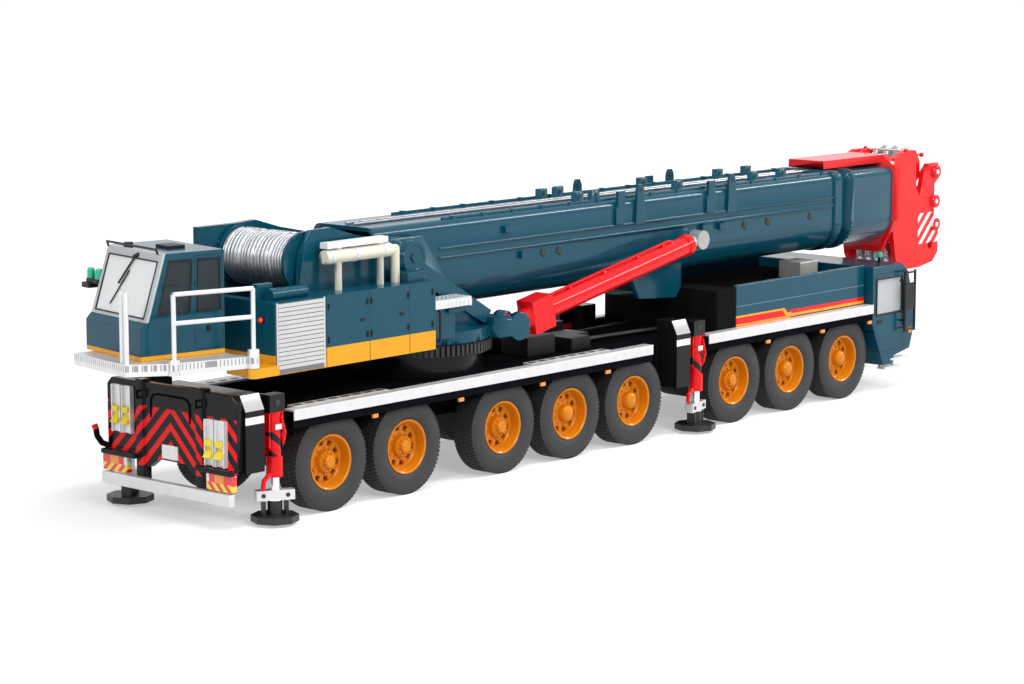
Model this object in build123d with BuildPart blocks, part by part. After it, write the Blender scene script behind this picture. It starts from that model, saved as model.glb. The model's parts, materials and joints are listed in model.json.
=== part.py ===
"""Scale model of an eight-axle mobile crane, parked for the road with its boom lowered."""
import math
import os

from build123d import *

os.makedirs("parts", exist_ok=True)

# Frame: millimetres, +X forward, +Y left, +Z up, origin on the floor under the middle of the model.
# Stations along the length are measured forward from the rear axle and placed by at().

# Half width of the carrier, which the other widths follow
half_width = 29.6
tyre_face_y = half_width - 2.2
kingpin_y = tyre_face_y - 11.8
outrigger_half = half_width - 9.1
jack_y = half_width - 2.4
shield_y = half_width - 0.3
tail_half = half_width - 1.1
bar_half = half_width - 1.4
bay_half = half_width - 5.6
cover_y = half_width - 4.0
cab_half = half_width - 0.4
mirror_y = half_width + 1.8
housing_half = half_width - 0.8
hinge_y = 0.4 - half_width

# Wheels
axle_stations = (0.0, 33.0, 77.5, 110.5, 143.5, 199.5, 232.5, 265.5)
steered_axles = (8, 7, 4, 3, 2, 1)
wheel_r = 15.0
tyre_width = 9.0
tyre_sides = 36
tyre_bore_r = 8.6
tyre_shoulder = 1.5
rim_gap = 0.05
rim_lip_depth = 0.6
rim_lip_r = 7.9
rim_wall = 0.7
rim_disc_depth = 3.6
rim_disc_t = 1.4
hub_r = 3.4
hub_out = 2.2
cap_r = 2.0
cap_out = 1.4
stub_r = 1.5
running_gap = 0.05

# Axle beams and steering knuckles
axle_z = wheel_r
kingpin_r = 1.2
knuckle_r = 2.4
knuckle_h = 4.0
ear_t = 1.7
ear_r = 2.5
ear_gap = 0.2
beam_depth = 5.0
beam_width = 5.0
axle_pad = 9.0

# Chassis frame and outrigger boxes
frame_clear = 4.2
frame_h = 12.3
frame_half = 12.0
frame_rear = -37.4
frame_front = 281.0
outrigger_wall = 0.9
beam_w = 7.3
beam_h = 8.2
beam_tail = 19.5
beam_pitch = 8.8
slide_gap = 0.1
rear_jack_station = -23.9
front_jack_station = 177.0
shield_back = 4.4
shield_fore = 3.0
shield_bottom = 17.0
shield_top = 40.0
shield_slope = 4.5

# Jacks: barrel, red frame and black head on the beam, foot with bracket and pad
jack_bottom = 14.4
jack_shoe_r = 2.5
jack_shoe_h = 6.0
jack_tube_r = 2.0
jack_neck_half = 1.4
jack_frame_half = 2.9
jack_frame_bottom = 23.0
jack_frame_top = 33.9
jack_frame_t = 0.6
jack_frame_back = 2.5
jack_frame_front = 1.0
jack_head_half = 3.0
jack_head_front = 1.6
jack_head_top = 39.0
foot_rod_r = 1.5
foot_pad_r = 7.2
foot_pad_t = 2.0
foot_ground = 1.0
foot_post_r = 2.2
bracket_len = 11.6
bracket_size = 3.0
bracket_bottom = 7.4
foot_turns = {"rear_right": -30, "rear_left": 30, "front_right": 15, "front_left": -15}

# Deck, skirts and trim
deck_t = 1.5
skirt_t = 0.5
skirt_drop = 3.6
deck_rear = -18.2
deck_gap_rear = 150.2
deck_gap_front = 181.0
deck_front = 280.6
trim_t = 0.4
trim_lip = 0.7
trim_drop = 1.1
trim_top_w = 3.6

# Tail body
tail_rear = -40.0
tail_top = 40.2
tail_bottom = 18.0
tail_corner = 2.0
tail_block_drop = 3.0
arch_bottom = 14.6
arch_top = 17.5
arch_in = 6.0
arch_out = 10.0
hanger_y = 13.2
hanger_w = 3.2
hanger_t = 0.8
bar_bottom = 8.0
bar_h = 3.6
bar_t = 2.2
lamp_w = 11.0
lamp_h = 5.0
lamp_t = 2.2
lamp_shelf_t = 1.0

# Engine bay and cover
bay_rear = 191.0
bay_top = 44.0
bay_box_top = 47.4
cover_rear = 202.0
cover_top = 48.3
tank_rear = 256.0
tank_front = 267.0
tank_y = -9.0
tank_half = 5.0
tank_top = 50.5

# Carrier cab
cab_rear = 281.0
cab_front = 308.5
cab_roof = 47.5
cab_wall = 1.2
cab_floor = 19.0
cab_guard = 5.5
screen_low = 31.5
screen_high = 43.0
screen_side = 3.0
window_low = 29.3
window_high = 42.8
window_rear = 283.4
window_front = 300.0
seat_w = 12.0
seat_y = 16.0
seat_len = 9.0
seat_h = 6.0
seat_back_t = 2.5
seat_back_h = 9.0
glass_t = 0.7
glass_gap = 0.05
glass_set = 0.2
mirror_rear = 299.0
mirror_front = 305.4
mirror_low = 22.5
mirror_high = 44.0
mirror_tube_r = 0.5
mirror_bar_r = 0.4
mirror_end = 0.8
mirror_arms = (26.0, 41.0)
mirror_plate = (30.0, 40.0)
mirror_plate_half = 0.3
headlamp_low = 22.0
headlamp_high = 26.0
headlamp_in = 13.0
headlamp_out = 23.0
headlamp_t = 0.9
beacon_station = 298.0
beacon_y = -20.0
beacon_stem_r = 0.6
beacon_r = 1.2
beacon_h = 3.6

# Slewing ring and turntable
slew_station = 65.0
ring_r = 24.0
ring_h = 10.5
ring_rim_h = 4.0
slew_gap = 0.2
table_t = 3.8
table_rear = -21.0
table_front = 94.0
pivot_station = 43.0
pivot_z = 72.5
pivot_r = 3.0
pivot_boss_r = 6.0
pivot_disc_r = 5.5
pivot_disc_t = 3.0
strut_t = 2.0

# Machinery housing
housing_rear = -24.8
housing_front = 44.0
housing_bottom = 44.5
housing_top = 66.0
louvre_rear = -24.3
louvre_front = -4.3
louvre_t = 0.5
louvre_edge = 0.4
exhaust_rear = 2.0
exhaust_front = 30.0
exhaust_r = 2.1
exhaust_z = 76.4
exhaust_y = -22.5
exhaust_posts = (8.0, 26.0)
exhaust_post_r = 1.1
exhaust_pipe_r = 1.4
exhaust_elbow = 2.6
shield_bar_z = 79.0
shield_bar_h = 1.8
shield_bar_half = 1.6

# Winch
winch_station = 2.0
winch_z = 74.4
drum_r = 7.6
drum_flange_r = 9.2
drum_flange_t = 1.0
drum_shaft_r = 1.6

# Boom
boom_half = 13.6
boom_bottom = 53.0
boom_top = 81.8
boom_low_fillet = 10.5
boom_top_fillet = 3.0
boom_wall = 1.3
boom_tail = 33.0
boom_front = 281.0
boom_ring = 0.8
boom_ring_len = 4.0
ridge_heights = (70.0, 73.0)
ridge_h = 0.8
ridge_out = 0.5
ridge_start = 62.0
lug_stations = (136.0, 144.5, 190.0, 234.0, 251.0)
lug_y = 8.0
lug_half = 1.0
lug_len = 4.0
lug_h = 3.4
gusset_in = 9.0
gusset_t = 2.0
tele_gap = 0.3
collar_len = 28.4
collar_gap = 6.0
collar_plate = 0.9
collar_plate_len = 2.0
tele_tail = 60.0
head_tail = 90.0
head_gap = 0.4
head_len = 34.2
head_half = 12.0
head_plate_t = 2.0
flange_t = 3.0
flange_half = 14.4
flange_low_half = 7.5
flange_shoulder = 61.0
flange_low = 48.5
top_plate_len = 38.0
top_plate_half = 8.0
top_plate_z = 83.0
top_plate_t = 3.0
head_core = 8.0
head_core_low = 57.0
jib_pin_r = 1.5
jib_pin_z = 49.0
jib_pin_station = 344.5
sheave_axle_r = 1.5
sheave_cheek_in = 7.6
sheave_cheek_t = 1.4
head_seam = 0.1
head_eye_r = 2.5
head_eye_bore = 1.1
head_eye_out = 1.0
sheave_w = 2.6
sheave_groove = 1.0
top_sheave_station = 336.0
top_sheave_z = 81.5
top_sheave_r = 6.5
top_sheaves = (-5.0, 0.0, 5.0)
low_sheave_station = 328.0
low_sheave_z = 47.0
low_sheave_r = 5.6
low_sheaves = (-6.0, -2.0, 2.0, 6.0)

# Boom cheeks and luffing cylinders stand beside the boom
cheek_in = boom_half + 1.6
cheek_t = 2.4
drum_half = cheek_in - 0.6
cyl_y = boom_half + 6.6
cyl_foot_station = 88.5
cyl_foot_z = 46.3
cyl_top_station = 187.0
cyl_top_z = 65.5
barrel_r = 3.4
rod_r = 2.1
cyl_eye_r = 3.3
cyl_eye_half = 2.2
cyl_pin_r = 1.5
cyl_neck_r = 2.1
cyl_neck = 6.2
valve_start = 8.0
valve_len = 10.0
valve_h = 11.0
valve_w = 7.0
foot_ear_r = 4.6
foot_ear_t = 2.0
foot_block_rear = 78.0
foot_block_gap = 4.0
foot_block_top = 50.0
boom_boss_gap = 0.3

# Crane cab and its platform, drawn square to the model and then swung in about the hinge.
# Their sizes are measured from the hinge: back along the model and across it to the left.
hinge_station = -33.5
cab_rest_turn = -10.0
hinge_boss_r = 1.7
hinge_pin_r = 0.9
hinge_arm_t = 2.8
platform_z = 48.0
platform_t = 3.5
platform_back = -37.7
platform_front = -3.0
platform_left = 37.5
platform_edge = 0.4
platform_corner = (-25.2, 2.6)
platform_block = 8.6
rail_r = 0.7
rail_top = 71.3
rail_mid = 63.0
gate_back = -36.5
gate_posts = (9.8, 12.2)
gate_top = 72.0
crane_cab_front = -3.0
crane_cab_back = -31.5
crane_cab_sill_back = -29.5
crane_cab_top_back = -23.5
crane_cab_right = 10.2
crane_cab_left = 41.2
crane_cab_sill = 62.8
crane_cab_roof = 82.0
crane_cab_wall = 1.0
crane_screen_side = 2.0
crane_screen_low = 63.6
crane_screen_high = 79.6
crane_windows = (
    ((-25.6, 64.6), (-15.0, 64.4), (-14.0, 79.8), (-21.6, 79.8)),
    ((-12.4, 64.6), (-4.6, 64.5), (-4.6, 79.6), (-12.1, 79.8)),
)
operator_seat_front = -21.0
operator_seat_back = -11.0
operator_seat_half = 5.0
operator_seat_h = 6.0
operator_back_t = 2.0
operator_back_h = 12.0

# Heights and places that follow from the driving sizes
frame_bottom = axle_z + frame_clear
frame_top = frame_bottom + frame_h
deck_top = frame_top + deck_t
ring_top = deck_top + ring_h
table_bottom = ring_top + slew_gap
table_top = table_bottom + table_t
beam_bottom = frame_bottom + outrigger_wall + slide_gap
beam_top = beam_bottom + beam_h
wheel_y = tyre_face_y - tyre_width / 2
boom_mid_z = (boom_bottom + boom_top) / 2
platform_top = platform_z + platform_t
collar_start = boom_front + collar_gap
collar_end = collar_start + collar_len
head_start = collar_end + head_gap
front_end = head_start + head_len
turn_cos = math.cos(math.radians(cab_rest_turn))
turn_sin = math.sin(math.radians(cab_rest_turn))
rear_end = hinge_station + platform_back * turn_cos - platform_block * turn_sin
rear_axle_x = -(front_end + rear_end) / 2


def at(station):
    """X of a station measured forward from the rear axle."""
    return rear_axle_x + station


def block(x_range, y_range, z_range, mode=Mode.ADD):
    """A box between two stations, two widths and two heights."""
    size = [high - low for low, high in (x_range, y_range, z_range)]
    middle = (at(sum(x_range) / 2), sum(y_range) / 2, sum(z_range) / 2)
    with Locations(middle):
        Box(*size, mode=mode)


def upright(station, y, z_range, radius, mode=Mode.ADD):
    """A round bar standing between two heights."""
    with Locations((at(station), y, sum(z_range) / 2)):
        Cylinder(radius, z_range[1] - z_range[0], mode=mode)


def cross_bar(station, z, y_range, radius, mode=Mode.ADD):
    """A round bar lying across the model between two widths."""
    with Locations(Location((at(station), sum(y_range) / 2, z), (90, 0, 0))):
        Cylinder(radius, y_range[1] - y_range[0], mode=mode)


def long_bar(x_range, y, z, radius, mode=Mode.ADD):
    """A round bar lying along the model between two stations."""
    with Locations(Location((at(sum(x_range) / 2), y, z), (0, 90, 0))):
        Cylinder(radius, x_range[1] - x_range[0], mode=mode)


def level_bar(start, end, z, radius):
    """A round bar lying level between two (station, y) points."""
    run, across = end[0] - start[0], end[1] - start[1]
    middle = (at((start[0] + end[0]) / 2), (start[1] + end[1]) / 2, z)
    heading = Location(middle, (0, 0, math.degrees(math.atan2(across, run))))
    with Locations(heading * Location((0, 0, 0), (0, 90, 0))):
        Cylinder(radius, math.hypot(run, across))


def side_plate(outline, y_range, mode=Mode.ADD, inset=0):
    """A plate cut to a side outline of (station, height) points between two widths."""
    with BuildSketch(Plane.XZ.offset(-y_range[1])) as side_face:
        with BuildLine():
            Polyline([(at(station), z) for station, z in outline], close=True)
        make_face()
        if inset:
            offset(amount=-inset, mode=Mode.REPLACE, kind=Kind.INTERSECTION)
    extrude(side_face.sketch, amount=y_range[1] - y_range[0], mode=mode)


def plan_plate(outline, z_range):
    """A plate cut to a plan outline of (station, y) points between two heights."""
    with BuildSketch(Plane.XY.offset(z_range[0])) as plan_face:
        with BuildLine():
            Polyline([(at(station), y) for station, y in outline], close=True)
        make_face()
    extrude(plan_face.sketch, amount=z_range[1] - z_range[0])


def end_plate(outline, x_range):
    """A plate cut to an outline of (y, height) points between two stations."""
    with BuildSketch(Plane.YZ.offset(at(x_range[0]))) as end_face:
        with BuildLine():
            Polyline(outline, close=True)
        make_face()
    extrude(end_face.sketch, amount=x_range[1] - x_range[0])


def both_sides(inner, outer):
    """The left and right width ranges of a mirrored pair."""
    return ((inner, outer), (-outer, -inner))


def save(part, name):
    part.label = name
    export_step(part, f"parts/{name}.step")


# Wheel, drawn with its outer face towards +Y and its centre at the origin
outer_face = tyre_width / 2
rim_face = outer_face - rim_lip_depth
rim_r = tyre_bore_r - rim_gap
disc_outer = rim_face - rim_disc_depth


def wheel_solids(planetary):
    """Tyre and rim: the rim is a deep dish with a bolted hub or a smooth cap."""
    with BuildPart() as tyre:
        with BuildSketch(Plane.XZ.offset(outer_face)):
            RegularPolygon(wheel_r, tyre_sides, major_radius=False, rotation=180 / tyre_sides)
        extrude(amount=-(tyre_width - tyre_shoulder))
        with BuildSketch(Plane.XZ.offset(-outer_face + tyre_shoulder)):
            RegularPolygon(wheel_r, tyre_sides, major_radius=False, rotation=180 / tyre_sides)
        with BuildSketch(Plane.XZ.offset(-outer_face)):
            RegularPolygon(wheel_r - tyre_shoulder, tyre_sides, major_radius=False,
                           rotation=180 / tyre_sides)
        loft(ruled=True)
        with BuildSketch(Plane.XZ.offset(-outer_face)):
            RegularPolygon(tyre_bore_r, tyre_sides, major_radius=False, rotation=180 / tyre_sides)
        extrude(amount=tyre_width, mode=Mode.SUBTRACT)
    with BuildPart() as rim:
        with BuildSketch(Plane.XY):
            with BuildLine():
                Polyline(
                    (stub_r + running_gap, disc_outer - rim_disc_t),
                    (rim_r - rim_wall, disc_outer - rim_disc_t),
                    (rim_r - rim_wall, -outer_face + rim_lip_depth),
                    (rim_r, -outer_face + rim_lip_depth),
                    (rim_r, rim_face),
                    (rim_lip_r, rim_face),
                    (rim_lip_r - rim_wall, disc_outer),
                    (hub_r, disc_outer),
                    (hub_r, disc_outer + hub_out),
                    (cap_r, disc_outer + hub_out),
                    (cap_r, disc_outer + hub_out + cap_out),
                    (0, disc_outer + hub_out + cap_out),
                    (0, disc_outer + hub_out),
                    (stub_r + running_gap, disc_outer + hub_out),
                    close=True,
                )
            make_face()
        revolve(axis=Axis.Y)
        if planetary:
            with Locations(Location((0, disc_outer + hub_out, 0), (90, 0, 0))):
                with PolarLocations((hub_r + cap_r) / 2, 8):
                    Cylinder((hub_r - cap_r) / 4, cap_out)
    return tyre.part, rim.part


wheel_kinds = {True: wheel_solids(True), False: wheel_solids(False)}
planetary_axles = (8, 7, 6, 3)


def placed_wheel(axle, side):
    """Tyre and rim of one wheel at its place, side 1 on the left and -1 on the right."""
    place = Location((at(axle_stations[8 - axle]), side * wheel_y, axle_z), (0, 0, 0 if side > 0 else 180))
    return [solid.moved(place) for solid in wheel_kinds[axle in planetary_axles]]


side_names = {1: "left", -1: "right"}
for axle in steered_axles:
    for side, side_name in side_names.items():
        with BuildPart() as wheel:
            add(placed_wheel(axle, side))
        save(wheel.part, f"wheel_{axle}_{side_name}")

# The two driven axles that don't steer turn with their shaft as one piece
shaft_half = wheel_y + disc_outer + hub_out / 2
for axle in (6, 5):
    with BuildPart() as wheel_pair:
        add(placed_wheel(axle, 1) + placed_wheel(axle, -1))
        cross_bar(axle_stations[8 - axle], axle_z, (-shaft_half, shaft_half), stub_r + running_gap * 2)
    save(wheel_pair.part, f"wheels_{axle}")

# Steering knuckles: a kingpin in the ears of the beam and a stub axle for the wheel
stub_end = wheel_y + disc_outer + hub_out - running_gap
pin_half = knuckle_h / 2 + ear_gap + ear_t
for axle in steered_axles:
    station = axle_stations[8 - axle]
    for side, side_name in side_names.items():
        with BuildPart() as knuckle:
            upright(station, side * kingpin_y, (axle_z - knuckle_h / 2, axle_z + knuckle_h / 2), knuckle_r)
            upright(station, side * kingpin_y, (axle_z - pin_half, axle_z + pin_half), kingpin_r)
            cross_bar(station, axle_z, sorted((side * kingpin_y, side * stub_end)), stub_r)
        save(knuckle.part, f"knuckle_{axle}_{side_name}")

# Axle beams under the frame, forked at the ends where the wheels steer
fork = knuckle_h / 2 + ear_gap
fork_r = ear_r + 3 * ear_gap
pad_half = frame_half - 2
with BuildPart() as axle_beams:
    for number, station in enumerate(axle_stations):
        steered = (8 - number) in steered_axles
        half = kingpin_y if steered else kingpin_y + ear_r
        block((station - beam_width / 2, station + beam_width / 2), (-half, half),
              (axle_z - beam_depth / 2, axle_z + beam_depth / 2))
        block((station - axle_pad / 2, station + axle_pad / 2), (-pad_half, pad_half),
              (axle_z - beam_depth / 2 - 1, frame_bottom))
        for side in side_names:
            if steered:
                pin = (axle_z - pin_half, axle_z + pin_half)
                upright(station, side * kingpin_y, pin, ear_r)
                upright(station, side * kingpin_y, (axle_z - fork, axle_z + fork), fork_r, Mode.SUBTRACT)
                upright(station, side * kingpin_y, pin, kingpin_r + running_gap, Mode.SUBTRACT)
        if not steered:
            cross_bar(station, axle_z, (-half, half), stub_r + running_gap * 3, Mode.SUBTRACT)
save(axle_beams.part, "axle_beams")

# Outrigger beams lie side by side in their boxes, the left one behind the right one
outriggers = {
    "rear_right": (rear_jack_station, -1),
    "rear_left": (rear_jack_station - beam_pitch, 1),
    "front_right": (front_jack_station, -1),
    "front_left": (front_jack_station - beam_pitch, 1),
}
beam_slot = beam_w / 2 + slide_gap

# Chassis frame: a box girder with the outrigger boxes, a shield over the closed end of each box and the
# pedestal of the slewing ring
with BuildPart() as chassis_frame:
    block((frame_rear, frame_front), (-frame_half, frame_half), (frame_bottom, frame_top))
    for station in (rear_jack_station, front_jack_station):
        block((station - beam_pitch - beam_slot - outrigger_wall, station + beam_slot + outrigger_wall),
              (-outrigger_half, outrigger_half), (frame_bottom, frame_top))
    for station, side in outriggers.values():
        block((station - beam_slot, station + beam_slot), (-outrigger_half, outrigger_half),
              (beam_bottom - slide_gap, beam_top + slide_gap), Mode.SUBTRACT)
        shield = [
            (-side * outrigger_half, shield_bottom), (-side * shield_y, shield_bottom),
            (-side * shield_y, shield_top - shield_slope),
            (-side * (shield_y - shield_slope / 2), shield_top), (-side * outrigger_half, shield_top),
        ]
        end_plate(shield, (station - shield_back, station + shield_fore))
    upright(slew_station, 0, (frame_top, ring_top), ring_r * 0.9)
    upright(slew_station, 0, (ring_top - ring_rim_h, ring_top), ring_r)
save(chassis_frame.part, "chassis_frame")

for corner, (station, side) in outriggers.items():
    y = side * jack_y
    with BuildPart() as outrigger_beam:
        block((station - jack_frame_half, station + jack_frame_half),
              sorted((side * (jack_y - jack_frame_back - jack_frame_t), side * (jack_y + jack_frame_front))),
              (jack_frame_bottom, jack_frame_top))
        block((station - jack_frame_half + jack_frame_t, station + jack_frame_half - jack_frame_t),
              sorted((side * (jack_y - jack_frame_back), side * (jack_y + jack_frame_front + 1))),
              (jack_frame_bottom - 1, jack_frame_top - jack_frame_t), Mode.SUBTRACT)
        block((station - jack_head_half, station + jack_head_half),
              sorted((side * (jack_y - jack_frame_back), side * (jack_y + jack_head_front))),
              (jack_frame_top - jack_frame_t / 2, jack_head_top))
        upright(station, y, (jack_bottom, jack_frame_top - jack_frame_t / 2), jack_tube_r)
        upright(station, y, (jack_bottom, jack_bottom + jack_shoe_h), jack_shoe_r)
        block((station - beam_w / 2, station + beam_w / 2),
              sorted((-side * beam_tail, side * (jack_y - jack_frame_back - jack_frame_t / 2))),
              (beam_bottom, beam_top))
        block((station - jack_neck_half, station + jack_neck_half),
              sorted((side * (jack_y - jack_frame_back - jack_frame_t - 1), side * jack_y)),
              (beam_bottom + 1, beam_top - 1))
        upright(station, y, (jack_bottom, beam_top), foot_rod_r + running_gap, Mode.SUBTRACT)
    save(outrigger_beam.part, f"outrigger_beam_{corner}")
    with BuildPart() as outrigger_foot:
        upright(station, y, (foot_ground, beam_top - 1), foot_rod_r)
        with BuildSketch(Plane.XY.offset(foot_ground)) as pad_face:
            with Locations((at(station), y)):
                RegularPolygon(foot_pad_r, 8)
        extrude(pad_face.sketch, amount=foot_pad_t)
        upright(station, y, (foot_ground, bracket_bottom), foot_post_r)
        middle = (at(station), y, bracket_bottom + bracket_size / 2)
        with Locations(Location(middle, (0, 0, foot_turns[corner]))):
            Box(bracket_len, bracket_size, bracket_size)
        for along in (-0.3, 0.3):
            turned = Location((at(station), y, 0), (0, 0, foot_turns[corner]))
            rise = (foot_ground + bracket_bottom) / 2
            with Locations(turned * Location((along * bracket_len, 0, rise))):
                Box(0.8, bracket_size, bracket_bottom - foot_ground)
    save(outrigger_foot.part, f"outrigger_foot_{corner}")

# Deck plate with its side skirts, open round the jacks
with BuildPart() as deck:
    block((deck_rear, deck_front), (-half_width, half_width), (frame_top, deck_top))
    for low, high in both_sides(half_width - skirt_t, half_width):
        block((deck_rear, deck_front), (low, high), (frame_top - skirt_drop, deck_top))
    for low, high in both_sides(outrigger_half, half_width):
        block((deck_gap_rear, deck_gap_front), (low, high), (frame_top - skirt_drop, deck_top), Mode.SUBTRACT)
    upright(slew_station, 0, (frame_top, deck_top), ring_r * 0.9, Mode.SUBTRACT)
save(deck.part, "deck")

# Aluminium: edge strips on the deck and the bumper bar at the tail
with BuildPart() as aluminium_trim:
    for start, end in ((deck_rear, deck_gap_rear), (deck_gap_front, deck_front)):
        for side in side_names:
            block((start, end), sorted((side * half_width, side * (half_width + trim_t))),
                  (frame_top - trim_drop, deck_top + trim_lip))
            block((start, end), sorted((side * (half_width - trim_top_w), side * (half_width + trim_t))),
                  (deck_top, deck_top + trim_lip))
    block((tail_rear - hanger_t - bar_t, tail_rear - hanger_t), (-bar_half, bar_half),
          (bar_bottom, bar_bottom + bar_h))
save(aluminium_trim.part, "aluminium_trim")

# Tail body: an arched panel, two channels that carry the bumper bar, and the shelves of the lamps
hanger_out = hanger_y + hanger_w / 2
half_outline = [
    (tail_half, tail_bottom), (tail_half, tail_top - tail_corner), (tail_half - tail_corner, tail_top),
]
half_arch = [
    (arch_in, arch_top), (arch_out, arch_bottom), (hanger_out, arch_bottom), (hanger_out, tail_bottom),
]
tail_outline = half_outline + [(-y, z) for y, z in reversed(half_outline)]
tail_outline += [(-y, z) for y, z in reversed(half_arch)] + half_arch
with BuildPart() as rear_body:
    end_plate(tail_outline, (tail_rear, frame_rear))
    for low, high in both_sides(hanger_y - hanger_w / 2, hanger_out):
        block((tail_rear - hanger_t, frame_rear), (low, high), (bar_bottom, tail_top + hanger_t))
    for low, high in both_sides(hanger_y, tail_half):
        block((tail_rear - hanger_t - lamp_t, tail_rear + hanger_t), (low, high),
              (tail_bottom - lamp_shelf_t, tail_bottom + lamp_shelf_t / 2))
    block((frame_rear, deck_rear), (-outrigger_half, outrigger_half), (frame_top, tail_top - tail_block_drop))
save(rear_body.part, "rear_body")

# Lamps: rear lamp boxes, headlamps and the beacon on the carrier cab's roof
cab_nose_low = 20.5
cab_nose_high = 30.0
cab_nose_lean = 0.5


def nose_station(z):
    """Station of the carrier cab's front face at a height below the screen."""
    return cab_front - cab_nose_lean * (cab_nose_high - z) / (cab_nose_high - cab_nose_low)


lamp_top = tail_bottom - lamp_shelf_t
headlamp_front = cab_front + headlamp_t
headlamp_outline = [
    (nose_station(headlamp_low), headlamp_low), (nose_station(headlamp_high), headlamp_high),
    (headlamp_front, headlamp_high), (headlamp_front, headlamp_low),
]
with BuildPart() as lamps:
    for low, high in both_sides(tail_half - lamp_w, tail_half):
        block((tail_rear - lamp_t, tail_rear), (low, high), (lamp_top - lamp_h, lamp_top))
    for low, high in both_sides(headlamp_in, headlamp_out):
        side_plate(headlamp_outline, (low, high))
    upright(beacon_station, beacon_y, (cab_roof, cab_roof + beacon_h / 2), beacon_stem_r)
    upright(beacon_station, beacon_y, (cab_roof + beacon_h / 2, cab_roof + beacon_h), beacon_r)
save(lamps.part, "lamps")

# Engine bay with the box behind it and a tank on top, and its side covers
with BuildPart() as engine_bay:
    block((bay_rear, deck_front), (-bay_half, bay_half), (deck_top, bay_top))
    block((bay_rear, cover_rear), (-cover_y, cover_y), (deck_top, bay_box_top))
    block((tank_rear, tank_front), (tank_y - tank_half, tank_y + tank_half), (bay_top, tank_top))
save(engine_bay.part, "engine_bay")

with BuildPart() as engine_cover:
    for low, high in both_sides(bay_half, cover_y):
        block((cover_rear, deck_front), (low, high), (deck_top, cover_top))
save(engine_cover.part, "engine_cover")

# Carrier cab: a low wide shell with a raked screen and wedge-shaped guards behind the steps
cab_outline = [
    (cab_rear, cab_roof), (cab_front - 8.5, cab_roof), (cab_front - 4, cab_roof - 3.5),
    (cab_front, cab_nose_high), (cab_front - cab_nose_lean, cab_nose_low), (cab_front - 2.5, 14.6),
    (cab_front - 13, 12.8), (cab_front - 13.5, 9.8), (cab_front - 20, 9.8), (cab_rear, 26),
]
screen_half = cab_half - screen_side
with BuildPart() as carrier_cab:
    side_plate(cab_outline, (-cab_half, cab_half))
    side_plate(cab_outline, (cab_wall - cab_half, cab_half - cab_wall), Mode.SUBTRACT, cab_wall)
    block((cab_rear + cab_guard, cab_front - cab_guard), (-cab_half, cab_half),
          (cab_floor - cab_wall, cab_floor))
    block((window_front + 1, cab_front + 2), (-screen_half, screen_half),
          (screen_low, screen_high), Mode.SUBTRACT)
    block((window_rear, window_front), (-cab_half - 1, cab_half + 1),
          (window_low, window_high), Mode.SUBTRACT)
save(carrier_cab.part, "carrier_cab")


def pane_outline(low, high, low_station, high_station, depth):
    """Side outline of a raked pane set back from the outer face of its screen."""
    step = math.copysign(1, depth)
    return [
        (low_station - step * glass_set, low), (high_station - step * glass_set, high),
        (high_station - step * glass_set - depth, high), (low_station - step * glass_set - depth, low),
    ]


def screen_station(z):
    """Station of the carrier cab's windscreen at a height."""
    return cab_front - 4 * (z - cab_nose_high) / (cab_roof - 3.5 - cab_nose_high)


pane_low = screen_low + glass_gap
pane_high = screen_high - glass_gap
with BuildPart() as carrier_cab_glass:
    for low, high in both_sides(cab_half - glass_t - glass_set, cab_half - glass_set):
        block((window_rear + glass_gap, window_front - glass_gap), (low, high),
              (window_low + glass_gap, window_high - glass_gap))
    screen_pane = pane_outline(pane_low, pane_high, screen_station(pane_low),
                               screen_station(pane_high), glass_t)
    side_plate(screen_pane, (glass_gap - screen_half, screen_half - glass_gap))
save(carrier_cab_glass.part, "carrier_cab_glass")

seat_rear = cab_rear + cab_guard
with BuildPart() as carrier_cab_seats:
    for low, high in both_sides(seat_y - seat_w / 2, seat_y + seat_w / 2):
        block((seat_rear, seat_rear + seat_len), (low, high), (cab_floor, cab_floor + seat_h))
        block((seat_rear, seat_rear + seat_back_t), (low, high),
              (cab_floor, cab_floor + seat_h + seat_back_h))
save(carrier_cab_seats.part, "carrier_cab_seats")

# Mirrors: a tubular loop on two arms at each side, with the glass plate in it
with BuildPart() as cab_mirrors:
    for side in side_names:
        y = side * mirror_y
        for station in (mirror_rear, mirror_front):
            upright(station, y, (mirror_low - mirror_end, mirror_high + mirror_end), mirror_tube_r)
        for z in (mirror_low, mirror_high):
            long_bar((mirror_rear, mirror_front), y, z, mirror_bar_r)
        for z in mirror_arms:
            cross_bar(mirror_rear, z, sorted((side * cab_half, y)), mirror_bar_r)
        block((mirror_rear, mirror_front), (y - mirror_plate_half, y + mirror_plate_half), mirror_plate)
save(cab_mirrors.part, "cab_mirrors")

# Turntable: base plate, boom cheeks that also carry the winch, and the feet of the luffing cylinders
cheek_out = cheek_in + cheek_t
ear_in = cyl_y - cyl_eye_half - slew_gap
ear_out = cyl_y + cyl_eye_half + slew_gap
foot_out = ear_out + foot_ear_t
table_nose_half = cyl_y - max(barrel_r, valve_w / 2) - slew_gap
cheek_front = [
    (winch_station, winch_z + 9.6), (winch_station + 8, winch_z + 10), (winch_station + 18, winch_z + 7),
    (pivot_station - 9, pivot_z + 6), (pivot_station + 7, pivot_z + 6), (62, 62), (78, table_top - 1),
    (table_rear, table_top - 1),
]
cheek_backs = {
    1: [(table_rear, 64), (winch_station - 16, 68), (winch_station - 16, winch_z + 9.6)],
    -1: [(table_rear, 62), (winch_station - 6, 65), (winch_station - 4, winch_z + 3)],
}
strut_outline = [(44, 66), (49, 70), (80, 52), (77, 48)]
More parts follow.
